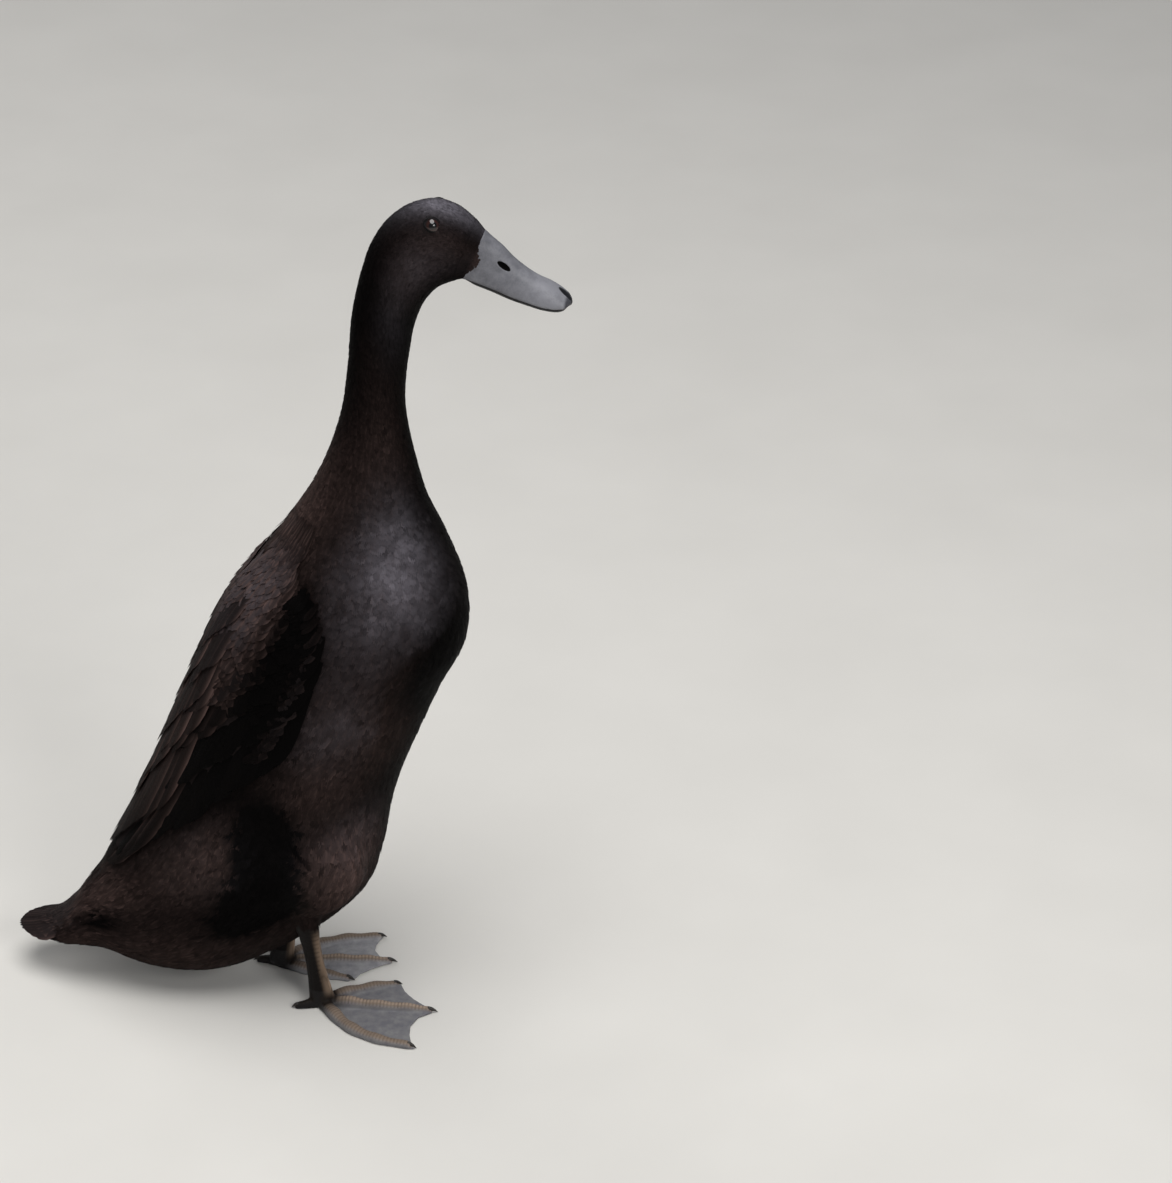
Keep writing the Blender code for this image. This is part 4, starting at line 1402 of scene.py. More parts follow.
        # The shoulder's coverts are browner, with a painted highlight on its lit upper front, and turn
        # black towards the painted shadow of the cleft before the flank.
        painted_shoulder_highlight = soft_step(350, 262, tips) * soft_step(58, 42, turns)
        brown = {"coverts": 0.38, "cape": 0.4, "pocket": 0.0}[name] * soft_step(64, 54, turns) + 0.4 * painted_shoulder_highlight
        own = soft_step(228, 268, tips)
        if name == "pocket":
            low = self.edges.read(plumes.along)[:, 0]
            own = own * (1 - 0.85 * soft_step(low - 9, low + 4, turns))
        bird = self.markings.marks(plumes.along, turns)
        brown = own * brown + (1 - own) * bird[Mark.BROWN.value]
        return brown, own * 0.3 * painted_shoulder_highlight**1.5 + (1 - own) * bird[Mark.GREY.value]

    def covers(self, along: Array, turn: Array) -> Array:
        """Whether places on the trunk, on either side, are well under the bed.

        Args:
            along: Distances down the middle line.
            turn: Degrees from the back.

        Returns:
            True or false for each place.
        """
        v = self.edges.read(along)
        side = fold(turn)
        return (along > 285) & (along < 470) & (side < v[:, 0] - 9) & (side > v[:, 1] + 9)

    def build(self) -> list[Object]:
        """Lays the tiers on the bed.

        Returns:
            The feathers, then the bed.
        """
        chance = np.random.default_rng(SEED)
        sets = [(self.tier_plumes(tier, chance), tier.brown, tier.grey) for tier in self.tiers]
        for small in self.small:
            plumes = self.small_plumes(small, chance)
            sets.append((plumes, *self.small_marks(small[0], plumes)))
        laid, roots, marks = [], [], {mark.value: [] for mark in Mark}
        for plumes, brown, grey in sets:
            count = len(plumes.along)
            points, faces, vane = lay(plumes, WING_VANE, self.surface, (1.0, 1.0), 0.015, chance)
            laid.append((points, faces if self.side is Side.RIGHT else faces[:, ::-1], vane))
            roots.append(np.stack([plumes.across / 110, (plumes.along - 200) / 340], axis=1))
            marks[Mark.SHADE.value].append(own_shade(chance, 0.12, count))
            # Long feathers are pale at their edges only, and dark towards the wing's point and low down,
            # where the dark is partly their own black and partly painted shade under the folded wing.
            each = len(points) // count
            worn = np.ones(count * each)
            if np.isscalar(brown):
                reach = np.repeat(plumes.along, each) + vane[:, 1] * np.repeat(plumes.long, each)
                low = np.repeat(plumes.across / self.mm_per_degree, each)
                worn = (0.45 + 0.85 * vane[:, 0] ** 4) * (0.3 + 0.7 * soft_step(484, 410, reach))
                worn = worn * soft_step(66, 50, low)
            for mark, level in ((Mark.BROWN, brown), (Mark.GREY, grey)):
                uneven = np.repeat(level * chance.uniform(0.75, 1.25, count), each)
                marks[mark.value].append(np.clip(uneven * worn, 0, 1))
        marks = {label: np.concatenate(parts) for label, parts in marks.items()}
        name = f"wing_feathers_{self.side.tag}"
        feathers = coat_piece(name, join(laid), np.concatenate(roots), marks, self.finish)
        return [feathers, self.make_bed()]


@dataclass
class Tail:
    """A short closed tail: graduated tail feathers, with coverts over and under their quills."""

    # Dorsal (x, z), ventral (x, z) and half width from the root to the tip.
    rows: tuple = (
        (-140.5, 62.5, -117, 21.5, 31), (-147, 52, -133, 24, 29), (-154.5, 43.4, -147.5, 23.6, 25),
        (-161.8, 37.6, -158.3, 24, 21), (-169, 34.5, -167, 25.1, 16), (-176.5, 32.6, -175.5, 26.6, 9.5),
        (-182.2, 31.4, -181.8, 28.2, 4), (-184, 30.4, -183.9, 29.6, 1.5),
    )
    # Distance from the middle at the root and at the tip, share of the tail at the tip, half width.
    tail_feathers: tuple = (
        (1.4, 1, 1, 3.4), (4, 3.4, 0.99, 4), (7, 6.2, 0.97, 4.2), (10, 9.2, 0.935, 4.2),
        (13, 12.2, 0.885, 4.2), (16, 15.2, 0.82, 4), (18.8, 18, 0.74, 3.2),
    )
    inset: float = 1.6
    least_wide: float = 22.0
    # Rows of coverts: face, where they root, share of the tail at the tip, reach to each side,
    # count, half width, height of the tips.
    coverts: tuple = (
        (1, 2, 0.74, 13, 10, 2.5, 2), (1, 1, 0.64, 16, 13, 2.4, 2.1), (1, -1, 0.54, 19, 17, 2.3, 2.2),
        (1, -3, 0.44, 21, 20, 2.2, 2.2), (1, -5, 0.34, 23, 24, 2.2, 2.2),
        (-1, 2, 0.76, 14, 8, 3.4, 1.4), (-1, 0, 0.6, 19, 10, 3.2, 1.9), (-1, -3, 0.42, 23, 12, 3, 2.3),
    )
    sink: float = 1.8
    finish: FeatherFinish = FeatherFinish("tail_feather", roughness=0.55, barbs=40.0, worn=0.6)

    def __post_init__(self) -> None:
        """Works out the tail's middle line."""
        self.profile = Profile.line(self.rows)

    def surface(self, face: int, along: Array, across: Array, lift: Array) -> Array:
        """Points over the tail's upper face, or under its lower face with face -1.

        Args:
            face: 1 for the upper face, -1 for the lower.
            along: Distances along the tail.
            across: Millimetres to the side.
            lift: Heights over the face.

        Returns:
            One point for each place.
        """
        v = self.profile.read(along)
        past = np.minimum(along, 0)
        centre, deep = (v[:, 0:2] + v[:, 2:4]) / 2, (v[:, 0:2] - v[:, 2:4]) / 2
        size = np.linalg.norm(deep, axis=1)
        wide = np.maximum(v[:, 4], self.least_wide)
        across = np.clip(across, -0.985 * wide, 0.985 * wide)
        share = np.abs(across) / wide
        high = face * (size * np.sqrt(1 - share**2) - self.inset + lift)
        unit = deep / size[:, None]
        x, z = (centre[:, k] + unit[:, k] * high for k in (0, 1))
        return np.stack([x - past * 0.5, across, z], axis=1)

    def runs(self, chance: np.random.Generator) -> list[tuple]:
        """Lists the feathers, the tail's own in pairs and then the coverts.

        Args:
            chance: The seeded source of the coverts' unevenness.

        Returns:
            Rows of face, start, root and end along and across, half width, height and tuck.
        """
        long = self.profile.end
        runs = []
        for k, (root, tip, reach, wide) in enumerate(self.tail_feathers):
            for side in (1, -1):
                runs.append((1, 5.0, side * root, long * reach, side * tip, wide, 2.0 - 0.2 * k, 0.0))
        for face, start, reach, spread, count, wide, high in self.coverts:
            for k in range(count):
                share = 2 * (k + 0.5) / count - 1
                across, lift = spread * share, high - 1.8 * abs(share) ** 1.5
                end = long * reach * (1 - 0.26 * share**2) * chance.uniform(0.92, 1.06)
                tuck = chance.normal(0, 0.15)
                runs.append((face, start, across * 1.06, end, across, wide, lift, tuck))
        return runs

    def build(self) -> list[Object]:
        """Lays the tail's feathers.

        Returns:
            The feathers as one piece.
        """
        chance = np.random.default_rng(SEED + 1)
        laid, roots = [], []
        for face, start, root, end, tip, wide, high, tuck in self.runs(chance):
            ahead = np.array([end - start, tip - root])
            plumes = Plumes(
                start, root, np.linalg.norm(ahead), wide, low=-self.sink, high=high,
                lean=math.atan2(ahead[1], ahead[0]), tuck=tuck, camber=0.3, rise_power=0.6,
            )
            laid.append(lay(plumes, TAIL_VANE, partial(self.surface, face), (1.0, 1.0), 0.01, chance))
            roots.append([0.25 + 0.25 * (face < 0) + root / 120, end / (self.profile.end * 1.1)])
        laid = join(laid)
        marks = {
            Mark.SHADE.value: own_shade(chance, 0.15, len(roots)),
            Mark.BROWN.value: 0.3 + 0.16 * laid[2][:, 0] ** 4,
            Mark.GREY.value: 0.04,
        }
        return [coat_piece("tail_feathers", laid, np.clip(np.array(roots), 0, 1), marks, self.finish)]


# Head.


@dataclass
class Eye:
    """An eyeball in its lids."""

    side: Side
    centre: tuple = (102.9, 12.2, 558.8)
    radius: float = 5.95
    forward: float = 14.0
    upward: float = 24.0
    slope: float = 22.0
    cornea: float = 0.45
    # Half angles of the opening: along the head, up and down.
    opening: tuple = (50.0, 33.0, 39.0)
    # The lid from its margin out to the face: degrees past the opening and distance from the centre.
    lid: tuple = (
        (-2.5, 5.98), (-1, 6.22), (2, 6.42), (6, 6.5), (11, 6.4), (17, 6.1), (25, 5.7), (36, 5.2), (50, 4.7),
    )
    finish: EyeFinish = EyeFinish()
    skin: HornFinish = HornFinish("bare_eyelid_skin", "050404", "121011", 0.6, 1600.0, 0.35, 0.1)

    def axes(self) -> tuple[Array, ...]:
        """Centre, gaze, the direction towards the bill and the direction up across the eye.

        Returns:
            A point and three directions of length 1.
        """
        sign = self.side.value
        middle = np.array([self.centre[0], sign * self.centre[1], self.centre[2]])
        yaw, tilt = math.radians(self.forward), math.radians(self.upward)
        gaze = np.array([math.sin(yaw), sign * math.cos(yaw), math.sin(tilt)])
        gaze /= np.linalg.norm(gaze)
        fall = math.radians(self.slope)
        bill = np.array([math.cos(fall), 0, -math.sin(fall)])
        bill -= gaze * (bill @ gaze)
        bill /= np.linalg.norm(bill)
        up = np.cross(bill, gaze) * -sign
        return middle, gaze, bill, up

    def globe(self, degrees: Array, around: Array, radius: Array) -> Array:
        """Points at degrees from the gaze, radians around it from the bill upwards, and a radius.

        Args:
            degrees: Degrees from the gaze.
            around: Radians around the gaze.
            radius: Distances from the centre.

        Returns:
            One point for each place.
        """
        middle, gaze, bill, up = self.axes()
        angle = np.radians(degrees)[:, None]
        side = np.cos(around)[:, None] * bill + np.sin(around)[:, None] * up
        return middle + radius[:, None] * (np.cos(angle) * gaze + np.sin(angle) * side)

    def make_ball(self) -> Object:
        """The eyeball, with the cornea bulging from it.

        Returns:
            The eyeball.
        """
        rings, columns = 26, 40
        degrees = np.repeat(np.linspace(1.5, 115, rings), columns)
        around = np.tile(round_angles(columns), rings)
        radius = self.radius + self.cornea * np.exp(-((degrees / 28) ** 2))
        points, faces = loft(self.globe(degrees, around, radius).reshape(rings, columns, 3))
        gaze = np.append(degrees, [0.0, 115.0])
        return make_object(f"eyeball_{self.side.tag}", points, faces, self.finish.material(), {"gaze": gaze})

    def make_lids(self) -> Object:
        """The lids, an open ring round an almond opening.

        Returns:
            The lids.
        """
        around = round_angles(56)
        wide, up, down = self.opening
        high = np.where(np.sin(around) > 0, up, down)
        edge = 1 / np.sqrt((np.cos(around) / wide) ** 2 + (np.sin(around) / high) ** 2)
        edge *= 1 + 0.13 * np.abs(np.cos(around)) ** 8
        loops = []
        for past, far in self.lid:
            heavy = 1 - 0.04 * np.clip(np.sin(around), 0, 1) * soft_step(-3, 8, np.array([past]))[0]
            loops.append(self.globe(edge + past, around, far * heavy))
        points, faces = loft(np.array(loops), closed=False)
        return make_object(f"eyelids_{self.side.tag}", points, faces, self.skin.material(), {"tone": -0.1})

    def build(self) -> list[Object]:
        """Makes the eyeball, then the lids."""
        return [self.make_ball(), self.make_lids()]

    def covers(self, points: Array, reach: float = 5.5) -> Array:
        """Whether points lie on the lids or the opening, where no feather may be."""
        middle, gaze, _, _ = self.axes()
        return np.linalg.norm(points - (middle + gaze * self.radius), axis=1) < reach


@dataclass
class Bill:
    """The upper bill with its nail and nostrils, and the lower bill under it."""

    # Top (x, z), edge of the mouth (x, z) and half width from the root to the tip.
    rows: tuple = (
        (132.4, 551.3, 120.5, 525, 12.2), (137, 547, 125.5, 523.5, 11.6), (143, 541.8, 132, 520.8, 10.8),
        (149, 535.2, 139.5, 517.8, 10.3), (156, 529, 149, 513.8, 10.4), (164, 523.4, 159, 510.8, 11),
        (173, 519, 170, 508, 11.4), (179.2, 514.7, 177.8, 507.2, 10.2), (182.8, 511.2, 182.3, 507.4, 7.4),
        (184.3, 509.2, 184.2, 508, 3.2),
    )
    square: float = 0.8
    lower_thick: float = 3.6
    mouth_gap: float = 0.5
    slope: float = 36.0
    nostril: tuple = ((145.4, 9.0, 532.4), (6.0, 2.9, 2.4))
    nail: tuple = ((177.4, 0, 511.3), (8.6, 5.2, 4.4))
    # Across and up from the edge of the mouth, in shares of the half width and in millimetres.
    palate: tuple = (
        (-0.97, -0.3), (-0.86, -0.25), (-0.6, 0.35), (0, 0.7), (0.6, 0.35), (0.86, -0.25), (0.97, -0.3),
    )
    horn: HornFinish = HornFinish("slate_bill_horn", "3f3f44", "78787d", 0.44)
    low_horn: HornFinish = HornFinish("dark_lower_bill_horn", "09090a", "19191c", 0.42)
    nail_horn: HornFinish = HornFinish("black_nail_horn", "08080a", "1b1b1f", 0.32)
    # The nostrils' black lining is painted shade inside the shallow holes.
    inside: DownFinish = DownFinish("nostril_painted_shade")

    def __post_init__(self) -> None:
        """Works out the distance along the bill of each row."""
        self.profile = Profile.line(self.rows)

    def section(self, out: Array) -> tuple[Array, ...]:
        """Edge of the mouth, way up to the ridge, its length and the half width, out from the root.

        Args:
            out: Distances out from the bill's root.

        Returns:
            The four, with a row or a value for each distance.
        """
        v = self.profile.read(out)
        rise = v[:, 0:2] - v[:, 2:4]
        return v[:, 2:4], rise, np.linalg.norm(rise, axis=1), v[:, 4]

    def surface(self, out: Array, degrees: Array, lift: Array | float) -> Array:
        """Points on the upper bill, out from its root, at degrees over from the left edge.

        Args:
            out: Distances out from the bill's root.
            degrees: Degrees over the bill from its left edge.
            lift: Heights over the bill.

        Returns:
            One point for each place.
        """
        mouth, rise, high, wide = self.section(out)
        angle = np.radians(np.clip(degrees, 0, 180))
        # The sides are a little hollow under the nostrils, and the ridge is flat at the root.
        hollow = 0.45 * np.exp(-(((out - 17) / 12) ** 2))
        lift = lift - hollow * np.exp(-(((np.abs(degrees - 90) - 52) / 16) ** 2))
        up = np.sin(angle) * (1 + lift / high)
        side = (wide + lift) * signed_power(np.cos(angle), self.square)
        return np.stack([mouth[:, 0] + rise[:, 0] * up, side, mouth[:, 1] + rise[:, 1] * up], axis=1)

    def make_upper(self) -> Object:
        """The upper bill with rounded lips, an almost flat roof of the mouth and its nostrils.

        Returns:
            The upper bill.
        """
        end = self.profile.end
        out = np.concatenate([np.arange(0, end - 4, 1.0), np.linspace(end - 4, end, 8)])
        columns = 37
        degrees = np.tile(np.linspace(0, 180, columns), len(out))
        top = self.surface(np.repeat(out, columns), degrees, 0.0).reshape(len(out), columns, 3)
        mouth, rise, high, wide = self.section(out)
        unit = rise / high[:, None]
        under = []
        for side, drop in self.palate:
            edge = mouth + unit * drop
            under.append(np.stack([edge[:, 0], wide * side, edge[:, 1]], axis=1))
        rings = np.concatenate([top, np.stack(under, axis=1)], axis=1)
        points, faces = loft(rings)
        # The horn is paler towards the tip, and darker at the feathers.
        place = np.repeat(out, rings.shape[1])
        rim = soft_step(end - 4.5, end - 1.5, place)
        tone = 0.42 * soft_step(20, 52, place) - 0.16 * soft_step(8, 0, place) - 1.2 * rim
        tone = np.append(tone, [0.0, 0.0])
        upper = make_object("upper_bill", points, faces, self.horn.material(), {"tone": tone})
        upper.data.materials.append(self.inside.material())
        holes = [self.cut_nostril(upper, side) for side in Side]
        bake_modifiers(upper)
        for hole in holes:
            bpy.data.objects.remove(hole)
        return upper

    def cut_nostril(self, upper: Object, side: Side) -> Object:
        """Cuts one nostril into the upper bill as a modifier.

        Args:
            upper: The upper bill, with the lining as its second material.
            side: The nostril's side.

        Returns:
            The cutting shape, to be removed after the cut.
        """
        (x, y, z), size = self.nostril
        shape = bmesh.new()
        bmesh.ops.create_uvsphere(shape, u_segments=28, v_segments=16, radius=1)
        turn = Matrix.Rotation(math.radians(self.slope), 4, "Y")
        place = Matrix.Translation(Vector((x, side.value * y, z)) * MM)
        place = place @ turn @ Matrix.Diagonal((*(Vector(size) * MM), 1))
        bmesh.ops.transform(shape, matrix=place, verts=shape.verts)
        mesh = bpy.data.meshes.new("hole")
        shape.to_mesh(mesh)
        shape.free()
        mesh.materials.append(upper.data.materials[1])
        hole = put_in_scene("hole", mesh)
        cut = upper.modifiers.new("Nostril", "BOOLEAN")
        cut.object, cut.solver, cut.material_mode = hole, "EXACT", "TRANSFER"
        return hole

    def make_lower(self) -> Object:
        """The lower bill, a shallow trough that the upper lips overhang.

        Returns:
            The lower bill.
        """
        end = self.profile.end
        out = np.linspace(0, end - 1.4, 56)
        mouth, rise, high, wide = self.section(out)
        blunt = np.sqrt(np.clip(1 - (np.clip(out - end + 7, 0, None) / 5.8) ** 2, 0.04, 1))
        angle = round_angles(32)
        ring_up, ring_side = np.clip(np.sin(angle), -1, 0.12), signed_power(np.cos(angle), 0.7)
        root = soft_step(0, 10, out)
        thick = np.minimum(self.lower_thick, wide * 0.55) * (0.6 + 0.4 * root) * blunt
        near = -self.mouth_gap - 0.12 * thick
        drop = near[:, None] + thick[:, None] * ring_up
        unit = rise / high[:, None]
        x, z = (mouth[:, k, None] + unit[:, k, None] * drop for k in (0, 1))
        y = wide[:, None] * ((0.78 + 0.12 * root) * (0.4 + 0.6 * blunt))[:, None] * ring_side
        points, faces = loft(np.stack([x, y, z], axis=2))
        return make_object("lower_bill", points, faces, self.low_horn.material(), {"tone": 0.0})

    def make_nail(self) -> Object:
        """The hooked nail at the tip, a low shield over the horn.

        Returns:
            The nail.
        """
        centre, size = self.nail
        rings, columns = 16, 28
        down = np.linspace(0.04, math.pi - 0.04, rings)
        around = round_angles(columns)
        d, a = np.repeat(down, columns), np.tile(around, rings)
        ball = np.stack([np.cos(d), np.sin(d) * np.cos(a), np.sin(d) * np.sin(a)], axis=1) * size
        cos, sin = math.cos(math.radians(self.slope)), math.sin(math.radians(self.slope))
        turned = ball @ np.array([[cos, 0, -sin], [0, 1, 0], [sin, 0, cos]])
        points, faces = loft((turned + centre).reshape(rings, columns, 3))
        return make_object("nail", points, faces, self.nail_horn.material(), {"tone": 0.0})

    def build(self) -> list[Object]:
        """Makes the upper bill, the lower bill and the nail."""
        return [self.make_upper(), self.make_lower(), self.make_nail()]


@dataclass
class FaceEdge:
    """The smallest feathers, which run out over the bill's sides in a rounded edge."""

    trunk: Trunk
    bill: Bill
    markings: Markings
    # Reach beside the ridge and at the mouth, and of the lobe, with its degrees and half width.
    least: float = 0.7
    lobe: tuple = (5.6, 27.0, 17.0)
    apart: float = 0.55
    degrees_apart: float = 2.3
    long: float = 2.8
    wide: float = 0.62
    blend: float = 1.2
    finish: FeatherFinish = FeatherFinish("face_feather", barbs=8.0)

    def __post_init__(self) -> None:
        """Finds which turn of the head meets each degree of the bill's root."""
        self.degrees = np.linspace(0, 180, 61)
        turns = np.linspace(-150, 150, 301)
        root = self.bill.surface(np.zeros(61), self.degrees, 0.0)
        head = self.trunk.surface(np.zeros(301), turns, 0.0)
        nearest = np.linalg.norm(root[:, None] - head[None], axis=2).argmin(axis=1)
        self.turns = turns[nearest]
        self.steps = root - head[nearest]

    def edge(self, degrees: Array) -> Array:
        """How far out the feathers reach at degrees over the bill.

        Args:
            degrees: Degrees over the bill from its left edge.

        Returns:
            Distances out from the bill's root.
        """
        high, middle, half = self.lobe
        side = np.minimum(degrees, 180 - degrees)
        return self.least + high * np.exp(-(((side - middle) / half) ** 2))

    def surface(self, along: Array, across: Array, lift: Array) -> Array:
        """Points over the bill, and past its root over the head.

        Args:
            along: Distances past the bill's root, less than 0 over the bill.
            across: Degrees over the bill from its left edge.
            lift: Heights over bill or head.

        Returns:
            One point for each place.
        """
        across = np.clip(across, 0, 180)
        past = np.maximum(along, 0)
        turn = np.interp(across, self.degrees, self.turns)
        step = np.stack([np.interp(across, self.degrees, self.steps[:, k]) for k in range(3)], axis=1)
        head = self.trunk.surface(past, turn, lift) + step * np.exp(-past / self.blend)[:, None]
        out = self.bill.surface(np.maximum(-along, 0), across, lift)
        return np.where(along[:, None] > 0, head, out)

    def build(self) -> Object:
        """Lays the feathers, their tips towards the head.

        Returns:
            The feathers.
        """
        chance = np.random.default_rng(SEED + 2)
        out, degrees = [], []
        for row in np.arange(-3.2, self.least + self.lobe[0] + 0.3, self.apart * 0.8):
            for angle in np.arange(1, 179.5, self.degrees_apart):
                spot = angle + chance.uniform(-1.1, 1.1)
                far = row + chance.uniform(-0.3, 0.3)
                if far <= self.edge(np.array([spot]))[0]:
                    out.append(far)
                    degrees.append(spot)
        out, degrees = np.array(out), np.array(degrees)
        count = len(out)
        plumes = Plumes(
            -out, degrees, self.long * chance.uniform(0.8, 1.15, count), self.wide,
            low=-0.1, high=chance.uniform(0.02, 0.2, count), lean=chance.normal(0, 0.12, count),
            tuck=0.0, camber=0.2,
        )
        laid = lay(plumes, SMALL_VANE, self.surface, (1.0, 0.27), 0.08, chance)
        shade = own_shade(chance, 0.12, count)
        marks = self.markings.marks(np.maximum(-out, 0), np.interp(degrees, self.degrees, self.turns))
        marks[Mark.BROWN.value] += 0.2 * soft_step(1.0, 5.0, out)
        marks[Mark.SHADE.value] = shade
        unwrap = np.stack([degrees / 180, (out + 4) / 12], axis=1)
        return coat_piece("face_edge_feathers", laid, unwrap, marks, self.finish)


# Legs.


@dataclass
class Leg:
    """A shank and webbed foot in one scaled skin, with its claws."""

    side: Side
    ankle: tuple[float, float]
    turned_out: float
    spread: float
    hock: tuple[float, float, float]
    ankle_high: float = 8.0
    # Share of the way from the hock to the ankle, fore and aft radius, side radius.
    shank: tuple = (
        (0, 7.6, 5.4), (0.12, 7.8, 5.7), (0.28, 6.6, 4.8), (0.55, 6, 4.4), (0.8, 6.9, 5), (1, 8.2, 6.2),
    )
    # Runs of points from the ankle: forward, outward, height, half width.
    toes: tuple = (
        ("outer", (
            (0, 0, 7.4, 4.6), (10, 13, 7.2, 4.2), (24, 27, 6.2, 3.9), (42, 36, 5.4, 3.5), (64, 40, 4.2, 2.7),
        ), 7.0),
        ("middle", (
            (0, 0, 7.6, 4.8), (17, 0.5, 7.5, 4.4), (35, 1, 6.6, 4), (53, 0.5, 5.8, 3.6), (70, 0, 4.4, 2.8),
        ), 8.0),
        ("inner", (
            (0, 0, 7.2, 4.6), (11, -9, 6.9, 4), (23, -17, 5.8, 3.6), (34, -22.5, 5.2, 3.2),
            (44, -26.5, 4, 2.6),
        ), 6.5),
        ("hind", ((0, 0, 7, 4.2), (-6, 3, 7, 3.4), (-11, 5, 5.6, 2.6), (-15, 6, 4.2, 1.9)), 4.5),
    )
    web: tuple = (
        (2, 7), (12, 16.5), (25, 29.5), (43, 38.5), (68, 42.5), (65, 36), (62.5, 28), (61.5, 18),
        (65, 8), (73, 1.5), (73, -1.5), (66, -6), (58.5, -12), (52, -19), (47.5, -28), (33, -25),
        (21, -18.5), (9, -10.5), (0, -6),
    )
    web_thick: float = 1.6
    voxel: float = 0.72
    toe_scute: float = 2.3
    shank_scute: float = 3.4
    scute_high: float = 0.24
    claw_share: float = 0.62
    into_body: float = 0.3
    # Fringe over the hock: height of the roots and length of each row, then the cone that it
    # hangs on, as height and radius.
    fringe: tuple = ((92, 20), (88, 18), (84, 16), (80, 14), (76, 12))
    cone: tuple = ((56, 7.2), (64, 8.4), (72, 11.0), (92, 17.0))
    # Painted light on the scute ridges and shade in their grooves, away from the middle toe's top.
    scute_painted_light: float = 0.42
    down: FeatherFinish = FeatherFinish("thigh_feather", barbs=14.0)
    finish: ScaleFinish = ScaleFinish()
    horn: HornFinish = HornFinish("black_claw_horn", "191716", "38332f", 0.38)

    def __post_init__(self) -> None:
        """Works out the shank's two ends."""
        self.foot = np.array([*self.ankle, self.ankle_high])
        self.knee = np.array([*self.ankle, 0.0]) + self.hock

    def axis(self, share: Array) -> Array:
        """Points of the shank's middle line at shares of the way from the hock to the ankle."""
        return self.knee + (self.foot - self.knee) * share[:, None]

    def share_at(self, z: Array) -> Array:
        """Share of the way from the hock to the ankle at heights."""
        return (self.knee[2] - z) / (self.knee[2] - self.foot[2])

    def place(self, forward: Array, outward: Array, up: Array) -> Array:
        """Points of the foot in the bird's frame.

        Args:
            forward: Distances ahead of the ankle.
            outward: Distances to the outer side.
            up: Heights over the floor.

        Returns:
            One point for each place.
        """
        sign = self.side.value
        yaw = math.radians(self.turned_out) * sign
        y = sign * self.spread * outward
        return np.stack([
            self.ankle[0] + forward * math.cos(yaw) - y * math.sin(yaw),
            self.ankle[1] + forward * math.sin(yaw) + y * math.cos(yaw),
            up,
        ], axis=1)

    def toe_line(self, run: tuple) -> tuple[Array, ...]:
        """A toe's middle line on the floor with its direction, height and half width.

        Args:
            run: Rows of a point's two values, a height and a half width.

        Returns:
            Points, directions, heights and half widths.
        """
        rows = Profile.line(run, 1)
        at = np.arange(0, rows.end + 2.0, 1.0)
        v = rows.read(at)
        over = np.maximum(at - rows.end, 0)
        last = rows.values[-1, :2] - rows.values[-2, :2]
        v[:, :2] += over[:, None] * last / np.linalg.norm(last)
        ends = np.sqrt(np.clip(1 - (over / 2.6) ** 2, 0.1, 1))
        points = self.place(v[:, 0], v[:, 1], np.zeros(len(v)))
        ahead = np.gradient(points, axis=0)
        ahead /= np.linalg.norm(ahead, axis=1)[:, None]
        knuckle = 1 + 0.07 * np.cos(2 * math.pi * at / 19.0)
        return points, ahead, v[:, 2] * ends * knuckle, v[:, 3] * ends * knuckle

    def rough(self) -> Object:
        """Toes, web, ankle and shank as closed shapes that overlap, in one mesh.

        Returns:
            The mesh's object.
        """
        angle = round_angles(20)
        cos, sin = np.cos(angle), np.sin(angle)
        side = signed_power(cos, 0.8)
        up = np.where(sin > 0, 0.42 + 0.58 * sin, 0.42 * (1 + np.clip(sin * 1.5, -1, 0)))
        parts = []
        for _, run, _ in self.toes:
            line, ahead, high, wide = self.toe_line(run)
            across = np.stack([-ahead[:, 1], ahead[:, 0], np.zeros(len(ahead))], axis=1)
            rings = line[:, None] + across[:, None] * side[None, :, None] * wide[:, None, None]
            rings[:, :, 2] += high[:, None] * up[None]
            parts.append(loft(rings))
        outline = np.array(self.web, float)
        flat = self.place(outline[:, 0], outline[:, 1], np.zeros(len(outline)))
        parts.append(loft(np.stack([flat + (0, 0, 0.15), flat + (0, 0, self.web_thick + 0.15)])))
        share = np.linspace(-self.into_body, 1, 40)
        size = Profile.table(self.shank).read(share)
        oval = np.stack([size[:, :1] * cos, size[:, 1:] * sin, np.zeros((len(share), len(angle)))], axis=2)
        rings = self.axis(share)[:, None] + oval
        # The shank runs on down into the foot.
        parts.append(loft(np.concatenate([rings, rings[-1:] + (0, 0, -4.5)])))
        return make_object(f"leg_skin_{self.side.tag}", *join(parts), self.finish.material())

    def fuse(self, leg: Object) -> None:
        """Makes one soft skin of the leg's overlapping shapes.

        Args:
            leg: The overlapping shapes, which become the skin.
        """
        remesh = leg.modifiers.new("Fuse", "REMESH")
        remesh.mode = "VOXEL"
        remesh.voxel_size = self.voxel * MM
        soften = leg.modifiers.new("Soften", "SMOOTH")
        soften.factor = 0.5
        soften.iterations = 4
        bake_modifiers(leg)

    def scale(self, points: Array) -> tuple[Array, Marks]:
        """Works out the scutes and the colours of the skin.

        Args:
            points: The skin's points.

        Returns:
            How high each point is raised, and the marks that the finish reads.
        """
        scute, ridge, dark, ridge_painted_light = (np.zeros(len(points)) for _ in range(4))
        for name, run, _ in self.toes:
            line, ahead, high, wide = self.toe_line(run)
            far = np.linalg.norm(points[:, None, :2] - line[None, :, :2], axis=2)
            near = far.argmin(axis=1)
            lateral = far[np.arange(len(points)), near] / wide[near]
            mask = soft_step(1.1, 0.5, lateral) * soft_step(0.3, 0.6, points[:, 2] / high[near])
            place = near + np.einsum("ij,ij->i", points - line[near], ahead[near])
            root = np.ones(len(points)) if name == "hind" else soft_step(20, 4, place)
